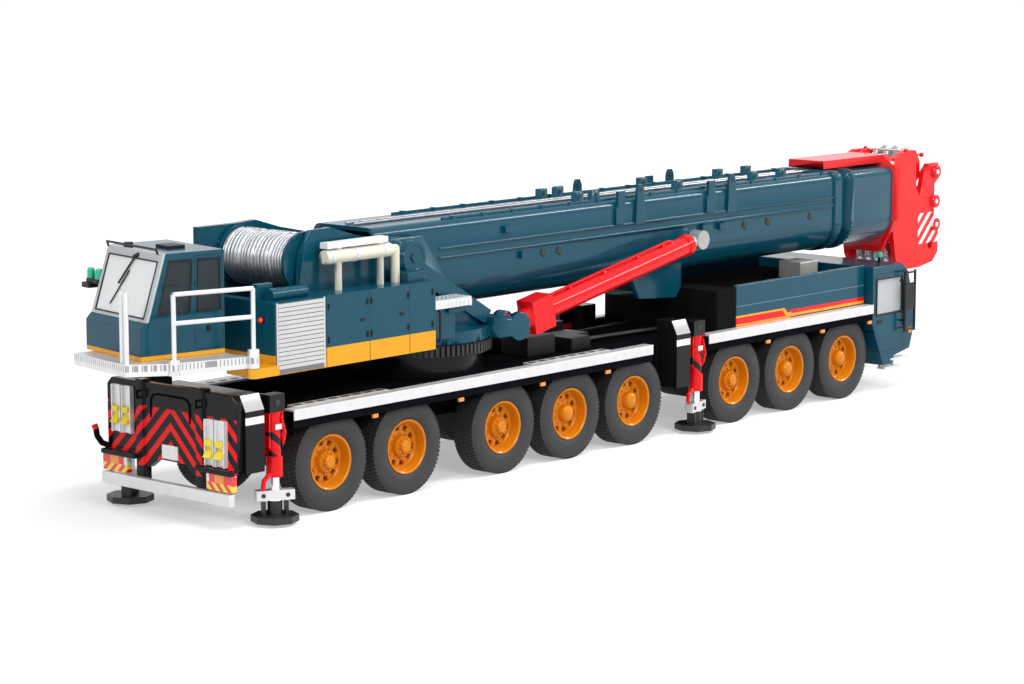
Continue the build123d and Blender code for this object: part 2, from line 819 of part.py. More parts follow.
with BuildPart() as turntable_frame:
    upright(slew_station, 0, (table_bottom, table_top), ring_r)
    block((table_rear, cyl_foot_station + foot_ear_r), (-cheek_out, cheek_out), (table_bottom, table_top))
    block((cyl_foot_station, table_front), (-table_nose_half, table_nose_half), (table_bottom, table_top))
    for side in side_names:
        side_plate(cheek_backs[side] + cheek_front, sorted((side * cheek_in, side * cheek_out)))
        side_plate(strut_outline, sorted((side * cheek_out, side * (cheek_out + strut_t))))
        low, high = sorted((side * cheek_out, side * (cheek_out + pivot_disc_t)))
        cross_bar(pivot_station, pivot_z, (low, high), pivot_disc_r)
        for inner, outer in ((cheek_in, ear_in), (ear_out, foot_out)):
            low, high = sorted((side * inner, side * outer))
            cross_bar(cyl_foot_station, cyl_foot_z, (low, high), foot_ear_r)
            block((cyl_foot_station - foot_ear_r, cyl_foot_station + foot_ear_r), (low, high),
                  (table_bottom, cyl_foot_z))
        low, high = sorted((side * cheek_in, side * foot_out))
        cross_bar(cyl_foot_station, cyl_foot_z, (low, high), cyl_pin_r)
        block((foot_block_rear, cyl_foot_station - foot_block_gap), (low, high),
              (table_bottom, foot_block_top))
    cross_bar(pivot_station, pivot_z, (-cheek_out, cheek_out), pivot_r)
    cross_bar(winch_station, winch_z, (-cheek_out, cheek_out), drum_shaft_r)
save(turntable_frame.part, "turntable_frame")

# Machinery housing with the arm that carries the crane cab's hinge pin
hinge_arm = (platform_z - slew_gap - hinge_arm_t, platform_z - slew_gap)
with BuildPart() as machine_housing:
    for low, high in both_sides(cheek_out, housing_half):
        block((housing_rear, housing_front), (low, high), (housing_bottom, housing_top))
    block((housing_rear, table_rear), (-cheek_out, cheek_out), (housing_bottom, housing_top))
    block((hinge_station, housing_rear), (hinge_y - hinge_boss_r, -cheek_out), hinge_arm)
    upright(hinge_station, hinge_y, hinge_arm, hinge_boss_r)
    upright(hinge_station, hinge_y, (hinge_arm[0], platform_top), hinge_pin_r)
save(machine_housing.part, "machine_housing")

with BuildPart() as louvre_panel:
    block((louvre_rear, louvre_front), (-housing_half - louvre_t, -housing_half),
          (housing_bottom + louvre_edge, housing_top - louvre_edge))
save(louvre_panel.part, "louvre_panel")

# Exhaust: silencer on two posts with a heat shield over it and a pipe down into the housing
pipe_station = exhaust_front + exhaust_elbow
with BuildPart() as exhaust:
    long_bar((exhaust_rear, exhaust_front), exhaust_y, exhaust_z, exhaust_r)
    long_bar((exhaust_front, pipe_station), exhaust_y, exhaust_z, exhaust_pipe_r)
    with Locations((at(pipe_station), exhaust_y, exhaust_z)):
        Sphere(exhaust_pipe_r)
    upright(pipe_station, exhaust_y, (housing_top, exhaust_z), exhaust_pipe_r)
    for station in exhaust_posts:
        upright(station, exhaust_y, (housing_top, shield_bar_z), exhaust_post_r)
    block((exhaust_rear, exhaust_front - 2), (exhaust_y - shield_bar_half, exhaust_y + shield_bar_half),
          (shield_bar_z, shield_bar_z + shield_bar_h))
save(exhaust.part, "exhaust")

with BuildPart() as winch_drum:
    cross_bar(winch_station, winch_z, (-drum_half, drum_half), drum_r)
    for low, high in both_sides(drum_half - drum_flange_t, drum_half):
        cross_bar(winch_station, winch_z, (low, high), drum_flange_r)
    cross_bar(winch_station, winch_z, (-drum_half, drum_half), drum_shaft_r + running_gap, Mode.SUBTRACT)
save(winch_drum.part, "winch_drum")


def boom_section(inset):
    """Outline of the boom across its length: flat top, deep rounded belly."""
    with Locations((0, boom_mid_z)):
        Rectangle(2 * (boom_half - inset), boom_top - boom_bottom - 2 * inset)
    fillet(vertices().group_by(Axis.Y)[0], boom_low_fillet - inset)
    fillet(vertices().group_by(Axis.Y)[-1], boom_top_fillet - inset * 0.5)


def boom_tube(start, end, inset, wall=None):
    """A length of boom section between two stations, hollow when a wall is given."""
    with BuildSketch(Plane.YZ.offset(at(start))) as outside:
        boom_section(inset)
    extrude(outside.sketch, amount=end - start)
    if wall:
        with BuildSketch(Plane.YZ.offset(at(start))) as inside:
            boom_section(inset + wall)
        extrude(inside.sketch, amount=end - start, mode=Mode.SUBTRACT)


# Boom base: the gusset under it, side ridges, lifting lugs and a ring at its front are cut with the bore
tele_inset = boom_wall + tele_gap
head_inset = tele_inset + boom_wall + tele_gap
boss_out = cyl_y - cyl_eye_half - boom_boss_gap
gusset_rear = cyl_top_station - 29
gusset_outline = [
    (gusset_rear, 60), (gusset_rear + 8, 46), (cyl_top_station - 1, 44.6), (cyl_top_station + 2, 48),
    (cyl_top_station + 2, 66), (gusset_rear, 66),
]
with BuildPart() as boom_base:
    for low, high in both_sides(gusset_in, gusset_in + gusset_t):
        side_plate(gusset_outline, (low, high))
    block((gusset_rear + 10, cyl_top_station - 2), (-gusset_in, gusset_in), (46, 48))
    boom_tube(boom_tail, boom_front, 0, boom_wall)
    boom_tube(boom_front - boom_ring_len, boom_front, -boom_ring, boom_ring + boom_wall)
    for low, high in both_sides(boom_half - boom_wall, boom_half + ridge_out):
        for z in ridge_heights:
            block((ridge_start, boom_front), (low, high), (z - ridge_h / 2, z + ridge_h / 2))
    for low, high in both_sides(lug_y - lug_half, lug_y + lug_half):
        for station in lug_stations:
            block((station - lug_len / 2, station + lug_len / 2), (low, high),
                  (boom_top - boom_wall, boom_top + lug_h))
    cross_bar(pivot_station, pivot_z, (-cheek_in + slew_gap, cheek_in - slew_gap), pivot_boss_r)
    cross_bar(pivot_station, pivot_z, (-cheek_in, cheek_in), pivot_r + running_gap, Mode.SUBTRACT)
    for low, high in both_sides(boom_half - boom_wall, boss_out):
        cross_bar(cyl_top_station, cyl_top_z, (low, high), cyl_eye_r)
save(boom_base.part, "boom_base")

with BuildPart() as boom_tele:
    boom_tube(tele_tail, collar_end, tele_inset, boom_wall)
    boom_tube(collar_start, collar_end, 0, tele_inset + boom_wall)
    boom_tube(collar_start, collar_start + collar_plate_len, -collar_plate,
              collar_plate + tele_inset + boom_wall)
save(boom_tele.part, "boom_tele")

# Boom head: flange with a plate over the collar, a frame of two side plates with pin eyes that is set on
# the flange, and the sheaves that turn on their axles, the upper ones between cheeks of their own
with BuildPart() as sheaves:
    packs = (
        (top_sheave_station, top_sheave_z, top_sheave_r, top_sheaves),
        (low_sheave_station, low_sheave_z, low_sheave_r, low_sheaves),
    )
    for station, z, radius, centres in packs:
        for y in centres:
            cross_bar(station, z, (y - sheave_w / 2, y + sheave_w / 2), radius - sheave_groove)
            for edge in (y - sheave_w * 0.4, y + sheave_w * 0.4):
                cross_bar(station, z, (edge - sheave_w * 0.1, edge + sheave_w * 0.1), radius)
        cross_bar(station, z, (-head_half, head_half), sheave_axle_r + running_gap, Mode.SUBTRACT)

flange_outline = [
    (top_plate_half, top_plate_z + top_plate_t), (flange_half, boom_top), (flange_half, flange_shoulder),
    (flange_low_half, flange_low), (-flange_low_half, flange_low), (-flange_half, flange_shoulder),
    (-flange_half, boom_top), (-top_plate_half, top_plate_z + top_plate_t),
]
frame_start = head_start + flange_t + head_seam
head_outline = [
    (frame_start, 56), (frame_start, 84.5), (head_start + 9, 86.5),
    (head_start + 15, 86.5), (head_start + 17.5, 83), (head_start + 18.5, 72), (head_start + 21, 69),
    (head_start + 23.5, 78), (head_start + 26.5, 81), (front_end - 1, 81), (front_end, 79.5), (front_end, 75),
    (front_end - 3, 73), (front_end - 3, 58), (front_end, 55.5), (front_end, 46), (front_end - 3.5, 42.5),
    (head_start + 21, 41), (head_start + 8, 41), (head_start + 5, 46),
]
cheek_outline = [
    (frame_start, 70), (frame_start, 84), (head_start + 14, 86.8),
    (head_start + 22, 86.4), (head_start + 25, 82), (head_start + 25, 76), (head_start + 18, 70),
]
head_eyes = ((front_end - 2.6, 77.6), (front_end - 3, 66), (front_end - 2.6, 57))
head_in = head_half - head_plate_t
core_front = head_start + flange_t + head_core
with BuildPart() as head_frame:
    plate_mid = head_half - head_plate_t / 2
    block((frame_start, core_front), (-plate_mid, plate_mid), (head_core_low, top_plate_z))
    for low, high in both_sides(head_in, head_half):
        side_plate(head_outline, (low, high))
    block((front_end - 9, front_end - 6), (-plate_mid, plate_mid), (60, 72))
    for low, high in both_sides(sheave_cheek_in, sheave_cheek_in + sheave_cheek_t):
        side_plate(cheek_outline, (low, high))
    for station, z in head_eyes:
        for low, high in both_sides(head_in - head_eye_out, head_half + head_eye_out):
            cross_bar(station, z, (low, high), head_eye_r)
            cross_bar(station, z, (low, high), head_eye_bore, Mode.SUBTRACT)
    cheek_reach = sheave_cheek_in + sheave_cheek_t / 2
    cross_bar(top_sheave_station, top_sheave_z, (-cheek_reach, cheek_reach), sheave_axle_r)
    cross_bar(low_sheave_station, low_sheave_z, (-plate_mid, plate_mid), sheave_axle_r)
    cross_bar(jib_pin_station, jib_pin_z, (-head_half, head_half), jib_pin_r, Mode.SUBTRACT)

with BuildPart() as boom_head:
    boom_tube(head_tail, head_start + flange_t, head_inset, boom_wall)
    end_plate(flange_outline, (head_start, head_start + flange_t))
    block((head_start - top_plate_len, head_start + flange_t / 2), (-top_plate_half, top_plate_half),
          (top_plate_z, top_plate_z + top_plate_t))
    add(head_frame.part)
    add(sheaves.part)
save(boom_head.part, "boom_head")

# Luffing cylinders, one each side of the boom
cyl_run = cyl_top_station - cyl_foot_station
cyl_rise = cyl_top_z - cyl_foot_z
cyl_length = math.hypot(cyl_run, cyl_rise)
cyl_angle = math.degrees(math.atan2(cyl_rise, cyl_run))
barrel_end = cyl_length - cyl_eye_r - 2.5
rod_start = cyl_neck + 3
rod_end_gap = 1.0


def cylinder_axis(y, distance):
    """A place on a cylinder's axis, its Z along the axis towards the rod's eye."""
    foot = Location((at(cyl_foot_station), y, cyl_foot_z), (0, 90 - cyl_angle, 0))
    return foot * Location((0, 0, distance))


with BuildPart() as cylinder_barrels:
    for side in side_names:
        y = side * cyl_y
        with Locations(cylinder_axis(y, (cyl_neck + barrel_end) / 2)):
            Cylinder(barrel_r, barrel_end - cyl_neck)
        with Locations(cylinder_axis(y, cyl_neck / 2)):
            Cylinder(cyl_neck_r, cyl_neck)
        with Locations(cylinder_axis(y, valve_start + valve_len / 2)):
            Box(valve_h, valve_w, valve_len)
        with Locations(cylinder_axis(y, (rod_start - rod_end_gap + barrel_end) / 2)):
            Cylinder(rod_r + running_gap, barrel_end - rod_start + rod_end_gap, mode=Mode.SUBTRACT)
        cross_bar(cyl_foot_station, cyl_foot_z, (y - cyl_eye_half, y + cyl_eye_half), cyl_eye_r)
        cross_bar(cyl_foot_station, cyl_foot_z, (y - cyl_eye_half, y + cyl_eye_half),
                  cyl_pin_r + running_gap, Mode.SUBTRACT)
save(cylinder_barrels.part, "cylinder_barrels")

with BuildPart() as cylinder_rods:
    for side in side_names:
        y = side * cyl_y
        with Locations(cylinder_axis(y, (rod_start + cyl_length) / 2)):
            Cylinder(rod_r, cyl_length - rod_start)
        cross_bar(cyl_top_station, cyl_top_z, (y - cyl_eye_half, y + cyl_eye_half), cyl_eye_r)
save(cylinder_rods.part, "cylinder_rods")

# Crane cab, drawn from the hinge: back is the station behind it, across the width to the left of it
hinge_axis = Axis((at(hinge_station), hinge_y, 0), (0, 0, 1))


def from_hinge(points):
    """Side outline of points given as (distance along from the hinge, height)."""
    return [(hinge_station + along, z) for along, z in points]


def across(start, end):
    """Width range given from the hinge."""
    return (hinge_y + start, hinge_y + end)


def along(start, end):
    """Station range given from the hinge."""
    return (hinge_station + start, hinge_station + end)


def crane_screen_along(z):
    """Place of the crane cab's windscreen along the model at a height, from the hinge."""
    rise = (z - crane_cab_sill) / (crane_cab_roof - crane_cab_sill)
    return crane_cab_sill_back + rise * (crane_cab_top_back - crane_cab_sill_back)


crane_cab_outline = from_hinge([
    (crane_cab_front, platform_top), (crane_cab_front, crane_cab_roof),
    (crane_cab_top_back, crane_cab_roof), (crane_cab_sill_back, crane_cab_sill),
    (crane_cab_back, crane_cab_sill - 2), (crane_cab_back, platform_top),
])
screen_right = crane_cab_right + crane_screen_side
screen_left = crane_cab_left - crane_screen_side
with BuildPart() as crane_cab:
    side_plate(crane_cab_outline, across(crane_cab_right, crane_cab_left))
    side_plate(crane_cab_outline, across(crane_cab_right + crane_cab_wall, crane_cab_left - crane_cab_wall),
               Mode.SUBTRACT, crane_cab_wall)
    block(along(crane_cab_back, crane_cab_top_back + crane_cab_wall), across(screen_right, screen_left),
          (crane_screen_low, crane_screen_high), Mode.SUBTRACT)
    for window in crane_windows:
        side_plate(from_hinge(window), across(crane_cab_right - 1, crane_cab_left + 1), Mode.SUBTRACT)
save(crane_cab.part.rotate(hinge_axis, cab_rest_turn), "crane_cab")

pane_low = crane_screen_low + glass_gap
pane_high = crane_screen_high - glass_gap
crane_pane = pane_outline(pane_low, pane_high, crane_screen_along(pane_low),
                          crane_screen_along(pane_high), -glass_t)
with BuildPart() as crane_cab_glass:
    for start in (crane_cab_right + glass_set, crane_cab_left - glass_set - glass_t):
        for window in crane_windows:
            side_plate(from_hinge(window), across(start, start + glass_t), inset=glass_gap)
    side_plate(from_hinge(crane_pane), across(screen_right + glass_gap, screen_left - glass_gap))
save(crane_cab_glass.part.rotate(hinge_axis, cab_rest_turn), "crane_cab_glass")

operator = (crane_cab_right + crane_cab_left) / 2
operator_width = across(operator - operator_seat_half, operator + operator_seat_half)
seat_base = platform_top + crane_cab_wall
seat_top = seat_base + operator_seat_h
with BuildPart() as crane_cab_seat:
    block(along(operator_seat_front, operator_seat_back), operator_width, (seat_base, seat_top))
    block(along(operator_seat_back - operator_back_t, operator_seat_back), operator_width,
          (seat_top, seat_top + operator_back_h))
save(crane_cab_seat.part.rotate(hinge_axis, cab_rest_turn), "crane_cab_seat")

# Platform: a walkway with cut corners round the cab, a handrail and a gate
platform_outline = [
    (platform_front, platform_left), (platform_front, 5), (0.5, 1.5), (0.5, platform_edge),
    (-4, platform_edge), platform_corner, (platform_back, platform_block), (platform_back, platform_left),
]
rail_end = (hinge_station + platform_corner[0], hinge_y + platform_corner[1])
with BuildPart() as cab_platform:
    plan_plate([(hinge_station + a, hinge_y + b) for a, b in platform_outline], (platform_z, platform_top))
    upright(hinge_station, hinge_y, (platform_z, rail_top), rail_r)
    upright(hinge_station, hinge_y, (platform_z, platform_top + 2), hinge_boss_r)
    upright(hinge_station, hinge_y, (platform_z, platform_top), hinge_pin_r + running_gap, Mode.SUBTRACT)
    upright(*rail_end, (platform_z, platform_top + 1), hinge_boss_r)
    upright(*rail_end, (platform_top, rail_top), rail_r)
    for z in (rail_mid, rail_top):
        level_bar(rail_end, (hinge_station, hinge_y), z, rail_r)
    for b in gate_posts:
        upright(hinge_station + gate_back, hinge_y + b, (platform_top, gate_top), rail_r)
save(cab_platform.part.rotate(hinge_axis, cab_rest_turn), "cab_platform")
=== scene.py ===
"""Dresses the scale model of a mobile crane: paint, rubber, metal, fittings, floor, lights and camera."""
import json
import math

import bmesh
import bpy
from mathutils import Matrix, Vector


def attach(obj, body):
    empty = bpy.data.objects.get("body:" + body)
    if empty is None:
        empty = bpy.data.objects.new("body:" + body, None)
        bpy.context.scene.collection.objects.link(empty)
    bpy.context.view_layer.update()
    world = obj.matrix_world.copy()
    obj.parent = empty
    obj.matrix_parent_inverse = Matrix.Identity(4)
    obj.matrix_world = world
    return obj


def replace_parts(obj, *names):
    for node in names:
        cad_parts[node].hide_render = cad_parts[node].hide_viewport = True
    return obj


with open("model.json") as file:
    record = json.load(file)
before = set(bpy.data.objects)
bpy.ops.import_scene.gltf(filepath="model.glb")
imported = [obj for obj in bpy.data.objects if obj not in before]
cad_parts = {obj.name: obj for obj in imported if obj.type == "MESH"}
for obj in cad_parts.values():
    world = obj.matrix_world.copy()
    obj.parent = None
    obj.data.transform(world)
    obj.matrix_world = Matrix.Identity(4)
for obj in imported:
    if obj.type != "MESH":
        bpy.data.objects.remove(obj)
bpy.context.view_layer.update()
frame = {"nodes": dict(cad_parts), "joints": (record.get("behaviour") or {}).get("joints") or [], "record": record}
scene = bpy.context.scene
joints = {joint["name"]: joint for joint in frame["joints"]}
rear_axle = joints["spin_8_left"]["pos_m"][0]
hinge = joints["cab_swing"]["pos_m"]
cab_turn = math.radians(-10)

# Fittings are drawn in millimetres: stations forward from the rear axle, widths to the left and heights.
# Those of the crane cab are measured from its hinge, square to the cab.
carrier_seat = Matrix.Translation((rear_axle, 0, 0)) @ Matrix.Scale(0.001, 4)
cab_seat = (Matrix.Translation((hinge[0], hinge[1], 0)) @ Matrix.Rotation(cab_turn, 4, "Z")
            @ Matrix.Scale(0.001, 4))
screen_foot, screen_foot_z, screen_rake = -29.5, 62.8, 0.3125


def screen_x(z):
    """Place of the crane cab's raked windscreen at a height."""
    return screen_foot + (z - screen_foot_z) * screen_rake


# Colours of the model's paints and plastics
BLUE = (0.003, 0.067, 0.108, 1)
ORANGE = (0.8, 0.36, 0.012, 1)
RIM = (0.68, 0.22, 0.005, 1)
RED = (0.82, 0.006, 0.01, 1)
BLACK = (0.011, 0.011, 0.012, 1)
DARK = (0.032, 0.032, 0.035, 1)
SILVER = (0.72, 0.73, 0.74, 1)
WHITE = (0.82, 0.82, 0.81, 1)
CREAM = (0.78, 0.73, 0.6, 1)
YELLOW = (0.86, 0.68, 0.03, 1)
GREEN = (0.0, 0.42, 0.25, 1)
AMBER = (0.85, 0.28, 0.02, 1)
RUBBER = (0.038, 0.038, 0.04, 1)
SEAM = (0.003, 0.02, 0.035, 1)
JET = (0.007, 0.007, 0.009, 1)
CHROME = (0.86, 0.86, 0.87, 1)


# Finishes
def feed(tree, socket, value):
    """Links an input to another node's output, or sets its plain value."""
    if isinstance(value, bpy.types.NodeSocket):
        tree.links.new(value, socket)
    else:
        socket.default_value = value


def reckon(tree, operation, *values):
    """A math node over sockets and plain values."""
    node = tree.nodes.new("ShaderNodeMath")
    node.operation = operation
    for socket, value in zip(node.inputs, values):
        feed(tree, socket, value)
    return node.outputs[0]


def make_mottle():
    """Slow change of tone, shine and height over a painted or moulded surface."""
    group = bpy.data.node_groups.new("mottle", "ShaderNodeTree")
    for name, kind in (("Color", "Color"), ("Roughness", "Float"), ("Scale", "Float"), ("Amount", "Float")):
        group.interface.new_socket(name, in_out="INPUT", socket_type=f"NodeSocket{kind}")
    for name, kind in (("Color", "Color"), ("Roughness", "Float"), ("Height", "Float")):
        group.interface.new_socket(name, in_out="OUTPUT", socket_type=f"NodeSocket{kind}")
    given = group.nodes.new("NodeGroupInput").outputs
    result = group.nodes.new("NodeGroupOutput").inputs
    place = group.nodes.new("ShaderNodeTexCoord").outputs["Object"]
    broad = group.nodes.new("ShaderNodeTexNoise")
    fine = group.nodes.new("ShaderNodeTexNoise")
    fine.inputs["Detail"].default_value = 3
    for noise, scale in ((broad, given["Scale"]), (fine, reckon(group, "MULTIPLY", given["Scale"], 9))):
        feed(group, noise.inputs["Vector"], place)
        feed(group, noise.inputs["Scale"], scale)
    swing = reckon(group, "SUBTRACT", broad.outputs["Fac"], 0.5)
    share = reckon(group, "MULTIPLY", swing, given["Amount"])
    tone = group.nodes.new("ShaderNodeHueSaturation")
    feed(group, tone.inputs["Color"], given["Color"])
    feed(group, tone.inputs["Value"], reckon(group, "MULTIPLY_ADD", share, 2, 1))
    feed(group, result["Color"], tone.outputs["Color"])
    feed(group, result["Roughness"], reckon(group, "ADD", given["Roughness"], share))
    feed(group, result["Height"], fine.outputs["Fac"])
    return group


mottle = make_mottle()


class Finish:
    """One shader whose colours are laid over each other by masks in the model's own millimetres."""

    def __init__(self, name, colour, roughness=0.4, metallic=0.0, coat=0.0, scale=160, amount=0.1,
                 relief=0.05, gloss=0.5, cab=False):
        self.material = bpy.data.materials.new(name)
        self.material.use_nodes = True
        self.tree = self.material.node_tree
        self.nodes = self.tree.nodes
        self.shader = self.nodes["Principled BSDF"]
        self.colour, self.roughness, self.metallic = colour, roughness, metallic
        self.scale, self.amount, self.relief = scale, amount, relief
        self.shader.inputs["Coat Weight"].default_value = coat
        self.shader.inputs["Specular IOR Level"].default_value = gloss
        self.shader.inputs["Coat Roughness"].default_value = 0.06
        self.cab = cab
        self.height = None
        self.axes = None

    def sum(self, operation, *values):
        return reckon(self.tree, operation, *values)

    def axis(self, letter):
        """Station, width or height over the surface in millimetres."""
        if self.axes is None:
            place = self.nodes.new("ShaderNodeTexCoord")
            mapping = self.nodes.new("ShaderNodeMapping")
            seat = (cab_seat if self.cab else carrier_seat).inverted()
            mapping.inputs["Location"].default_value = seat.translation
            mapping.inputs["Rotation"].default_value = (0, 0, -cab_turn if self.cab else 0)
            mapping.inputs["Scale"].default_value = (1000, 1000, 1000)
            feed(self.tree, mapping.inputs["Vector"], place.outputs["Object"])
            self.axes = self.nodes.new("ShaderNodeSeparateXYZ")
            feed(self.tree, self.axes.inputs[0], mapping.outputs["Vector"])
        return self.axes.outputs[letter]

    def band(self, value, low, high):
        """Mask of the surface where a value lies between two limits."""
        value = self.axis(value) if isinstance(value, str) else value
        return self.sum("COMPARE", value, (low + high) / 2, (high - low) / 2)

    def all(self, *masks):
        product = masks[0]
        for mask in masks[1:]:
            product = self.sum("MULTIPLY", product, mask)
        return product

    def stripes(self, value, pitch, share, offset=0.0):
        """Mask of even stripes across a value."""
        turn = self.sum("FRACT", self.sum("DIVIDE", self.sum("ADD", value, offset), pitch))
        return self.sum("LESS_THAN", turn, share)

    def blend(self, mask, first, second, kind):
        node = self.nodes.new("ShaderNodeMix")
        node.data_type = kind
        under, over, result = (6, 7, 2) if kind == "RGBA" else (2, 3, 0)
        for slot, value in ((0, mask), (under, first), (over, second)):
            feed(self.tree, node.inputs[slot], value)
        return node.outputs[result]

    def lay(self, colour, *masks, roughness=None, metallic=None):
        """Lays a colour over the finish where every mask holds."""
        mask = self.all(*masks)
        self.colour = self.blend(mask, self.colour, colour, "RGBA")
        if roughness is not None:
            self.roughness = self.blend(mask, self.roughness, roughness, "FLOAT")
        if metallic is not None:
            self.metallic = self.blend(mask, self.metallic, metallic, "FLOAT")

    def seam(self, letter, place, *masks, half=0.13):
        """Lays the thin dark line where two panels meet."""
        self.lay(SEAM, self.band(letter, place - half, place + half), *masks)

    def done(self):
        surface = self.nodes.new("ShaderNodeGroup")
        surface.node_tree = mottle
        for socket, value in (("Color", self.colour), ("Roughness", self.roughness), ("Scale", self.scale),
                              ("Amount", self.amount)):
            feed(self.tree, surface.inputs[socket], value)
        bump = self.nodes.new("ShaderNodeBump")
        for socket, value in (("Strength", self.relief), ("Distance", 0.0002),
                              ("Height", self.height or surface.outputs["Height"])):
            feed(self.tree, bump.inputs[socket], value)
        for socket, value in (("Base Color", surface.outputs["Color"]), ("Metallic", self.metallic),
                              ("Roughness", surface.outputs["Roughness"]),
                              ("Normal", bump.outputs["Normal"])):
            feed(self.tree, self.shader.inputs[socket], value)
        return self.material


def paint(name, colour, **more):
    """Gloss enamel."""
    settings = {"roughness": 0.2, "coat": 0.15, "relief": 0.0, "gloss": 0.15, "amount": 0.05, **more}
    return Finish(name, colour, **settings)


blue_paint = paint("blue_paint", BLUE).done()
red_paint = paint("red_paint", RED).done()
black_gloss = paint("black_gloss", JET, roughness=0.25, coat=0.0, gloss=0.0).done()
black_satin = Finish("black_satin", DARK, roughness=0.5, amount=0.16, gloss=0.3).done()
black_plastic = Finish("black_plastic", BLACK, roughness=0.42, amount=0.16, gloss=0.25).done()
bright_aluminium = Finish("bright_aluminium", SILVER, roughness=0.32, metallic=0.35, scale=300).done()
steel_rope = Finish("steel_rope", (0.42, 0.43, 0.45, 1), roughness=0.34, metallic=0.85, scale=700,
                    amount=0.3).done()
white_paint = Finish("white_paint", WHITE, roughness=0.38, coat=0.2).done()
louvre_white = Finish("louvre_white", (0.6, 0.6, 0.6, 1), roughness=0.4).done()
# Dark grey panel behind the louvre's slats: painted shade in the gaps between them.
louvre_gap_shade = Finish("louvre_gap_shade", (0.16, 0.16, 0.17, 1), roughness=0.5).done()
orange_paint = paint("orange_paint", RIM).done()
yellow_plastic = Finish("yellow_plastic", YELLOW, roughness=0.4).done()
rubber = Finish("rubber", RUBBER, roughness=0.62, scale=500, amount=0.18, relief=0.25, gloss=0.3).done()
# Near-black: the axle between twin wheels, and painted shade in the rim's sunken openings, the jacks' eyes and the
# lugs' eyes.
axle_dark_and_recess_shade = Finish("axle_dark_and_recess_shade", (0.02, 0.014, 0.008, 1), roughness=0.6).done()
amber_lens = Finish("amber_lens", AMBER, roughness=0.15, coat=0.6, amount=0.05).done()
red_lens = Finish("red_lens", RED, roughness=0.15, coat=0.6, amount=0.05).done()
green_lens = Finish("green_lens", GREEN, roughness=0.12, coat=0.7, amount=0.05).done()
seat_cloth = Finish("seat_cloth", (0.05, 0.05, 0.055, 1), roughness=0.8, scale=900, relief=0.3).done()


def window(name, colour, clear, **more):
    """Window glazing that lets part of the light through."""
    finish = Finish(name, colour, roughness=0.04, amount=0.02, relief=0.0, **more)
    finish.shader.inputs["Transmission Weight"].default_value = clear
    finish.shader.inputs["IOR"].default_value = 1.15
    return finish


# Carrier cab glass: pale grey, a painted reflection of the white surroundings, and lets part of the light through.
carrier_glass_reflection = window("carrier_window_reflection", (0.74, 0.78, 0.8, 1), 0.45).done()
side_window = window("crane_side_window", (0.2, 0.25, 0.28, 1), 0.85).done()
# Near-white windscreen: painted reflection of the pale surroundings.
crane_screen_reflection = window("crane_screen_reflection", (0.95, 0.97, 0.98, 1), 0.2).done()

# Housing and crane cab carry an orange band along the foot and dark seams; the screen's frame is pale
housing_paint = paint("housing_paint", BLUE)
housing_paint.lay(ORANGE, housing_paint.band("Z", 40, 50.4))
for station in (-3.4, 15.0, 32.4):
    housing_paint.seam("X", station)
housing_paint = housing_paint.done()
crane_cab_paint = paint("crane_cab_paint", BLUE, cab=True)
screen_line = crane_cab_paint.sum(
    "SUBTRACT", crane_cab_paint.axis("X"),
    crane_cab_paint.sum("MULTIPLY_ADD", crane_cab_paint.axis("Z"), screen_rake, screen_x(0)))
crane_cab_paint.lay((0.5, 0.53, 0.55, 1), crane_cab_paint.band(screen_line, -9, 0.7),
                    crane_cab_paint.band("Z", 62.6, 90))
crane_cab_paint.lay(ORANGE, crane_cab_paint.band("Z", 51, 52.9))
door_along, door_up = (-13.2, -3.9), (53.6, 80.8)
for along in door_along:
    crane_cab_paint.seam("X", along, crane_cab_paint.band("Z", *door_up))
for height in door_up:
    crane_cab_paint.seam("Z", height, crane_cab_paint.band("X", *door_along))
crane_cab_paint = crane_cab_paint.done()

# Carrier cab: door seams
carrier_cab_paint = paint("carrier_cab_paint", BLUE)
door_along, door_up = (282.3, 301.3), (15.4, 44.6)
for station in door_along:
    carrier_cab_paint.seam("X", station, carrier_cab_paint.band("Z", *door_up), half=0.14)
for height in door_up:
    carrier_cab_paint.seam("Z", height, carrier_cab_paint.band("X", *door_along), half=0.14)
carrier_cab_paint = carrier_cab_paint.done()

# Engine covers: a plain two-colour flash along the foot, and above it a thin paler line, a painted highlight for a
# pressed line
cover_paint = paint("cover_paint", BLUE)
lean = cover_paint.sum("ADD", cover_paint.axis("X"), cover_paint.axis("Z"))
cover_paint.lay(ORANGE, cover_paint.band("Z", 30, 37.4), cover_paint.band(lean, 200, 268))
cover_paint.lay(RED, cover_paint.band("Z", 34.4, 36.7), cover_paint.band(lean, 200, 266))
cover_paint.lay(ORANGE, cover_paint.band("Z", 34.0, 35.6), cover_paint.band(lean, 268, 330))
cover_paint.lay(RED, cover_paint.band("Z", 35.0, 36.4), cover_paint.band(lean, 270, 330))
# Thin paler blue line: painted highlight where a pressed line catches the light.
cover_paint.lay((0.10, 0.2, 0.28, 1), cover_paint.band("Z", 40.6, 40.9))
cover_paint = cover_paint.done()

# Tail: red and black chevrons on the panel's back face
tail_paint = paint("tail_paint", JET, coat=0.1, gloss=0.12)
rise = tail_paint.sum("ADD", tail_paint.axis("Z"), tail_paint.sum("ABSOLUTE", tail_paint.axis("Y")))
chevron = tail_paint.stripes(rise, 5.6, 0.45, 1.2)
tail_paint.lay(RED, chevron, tail_paint.band("X", -41, -39.9), tail_paint.band("Z", 15, 33.2))
tail_paint = tail_paint.done()

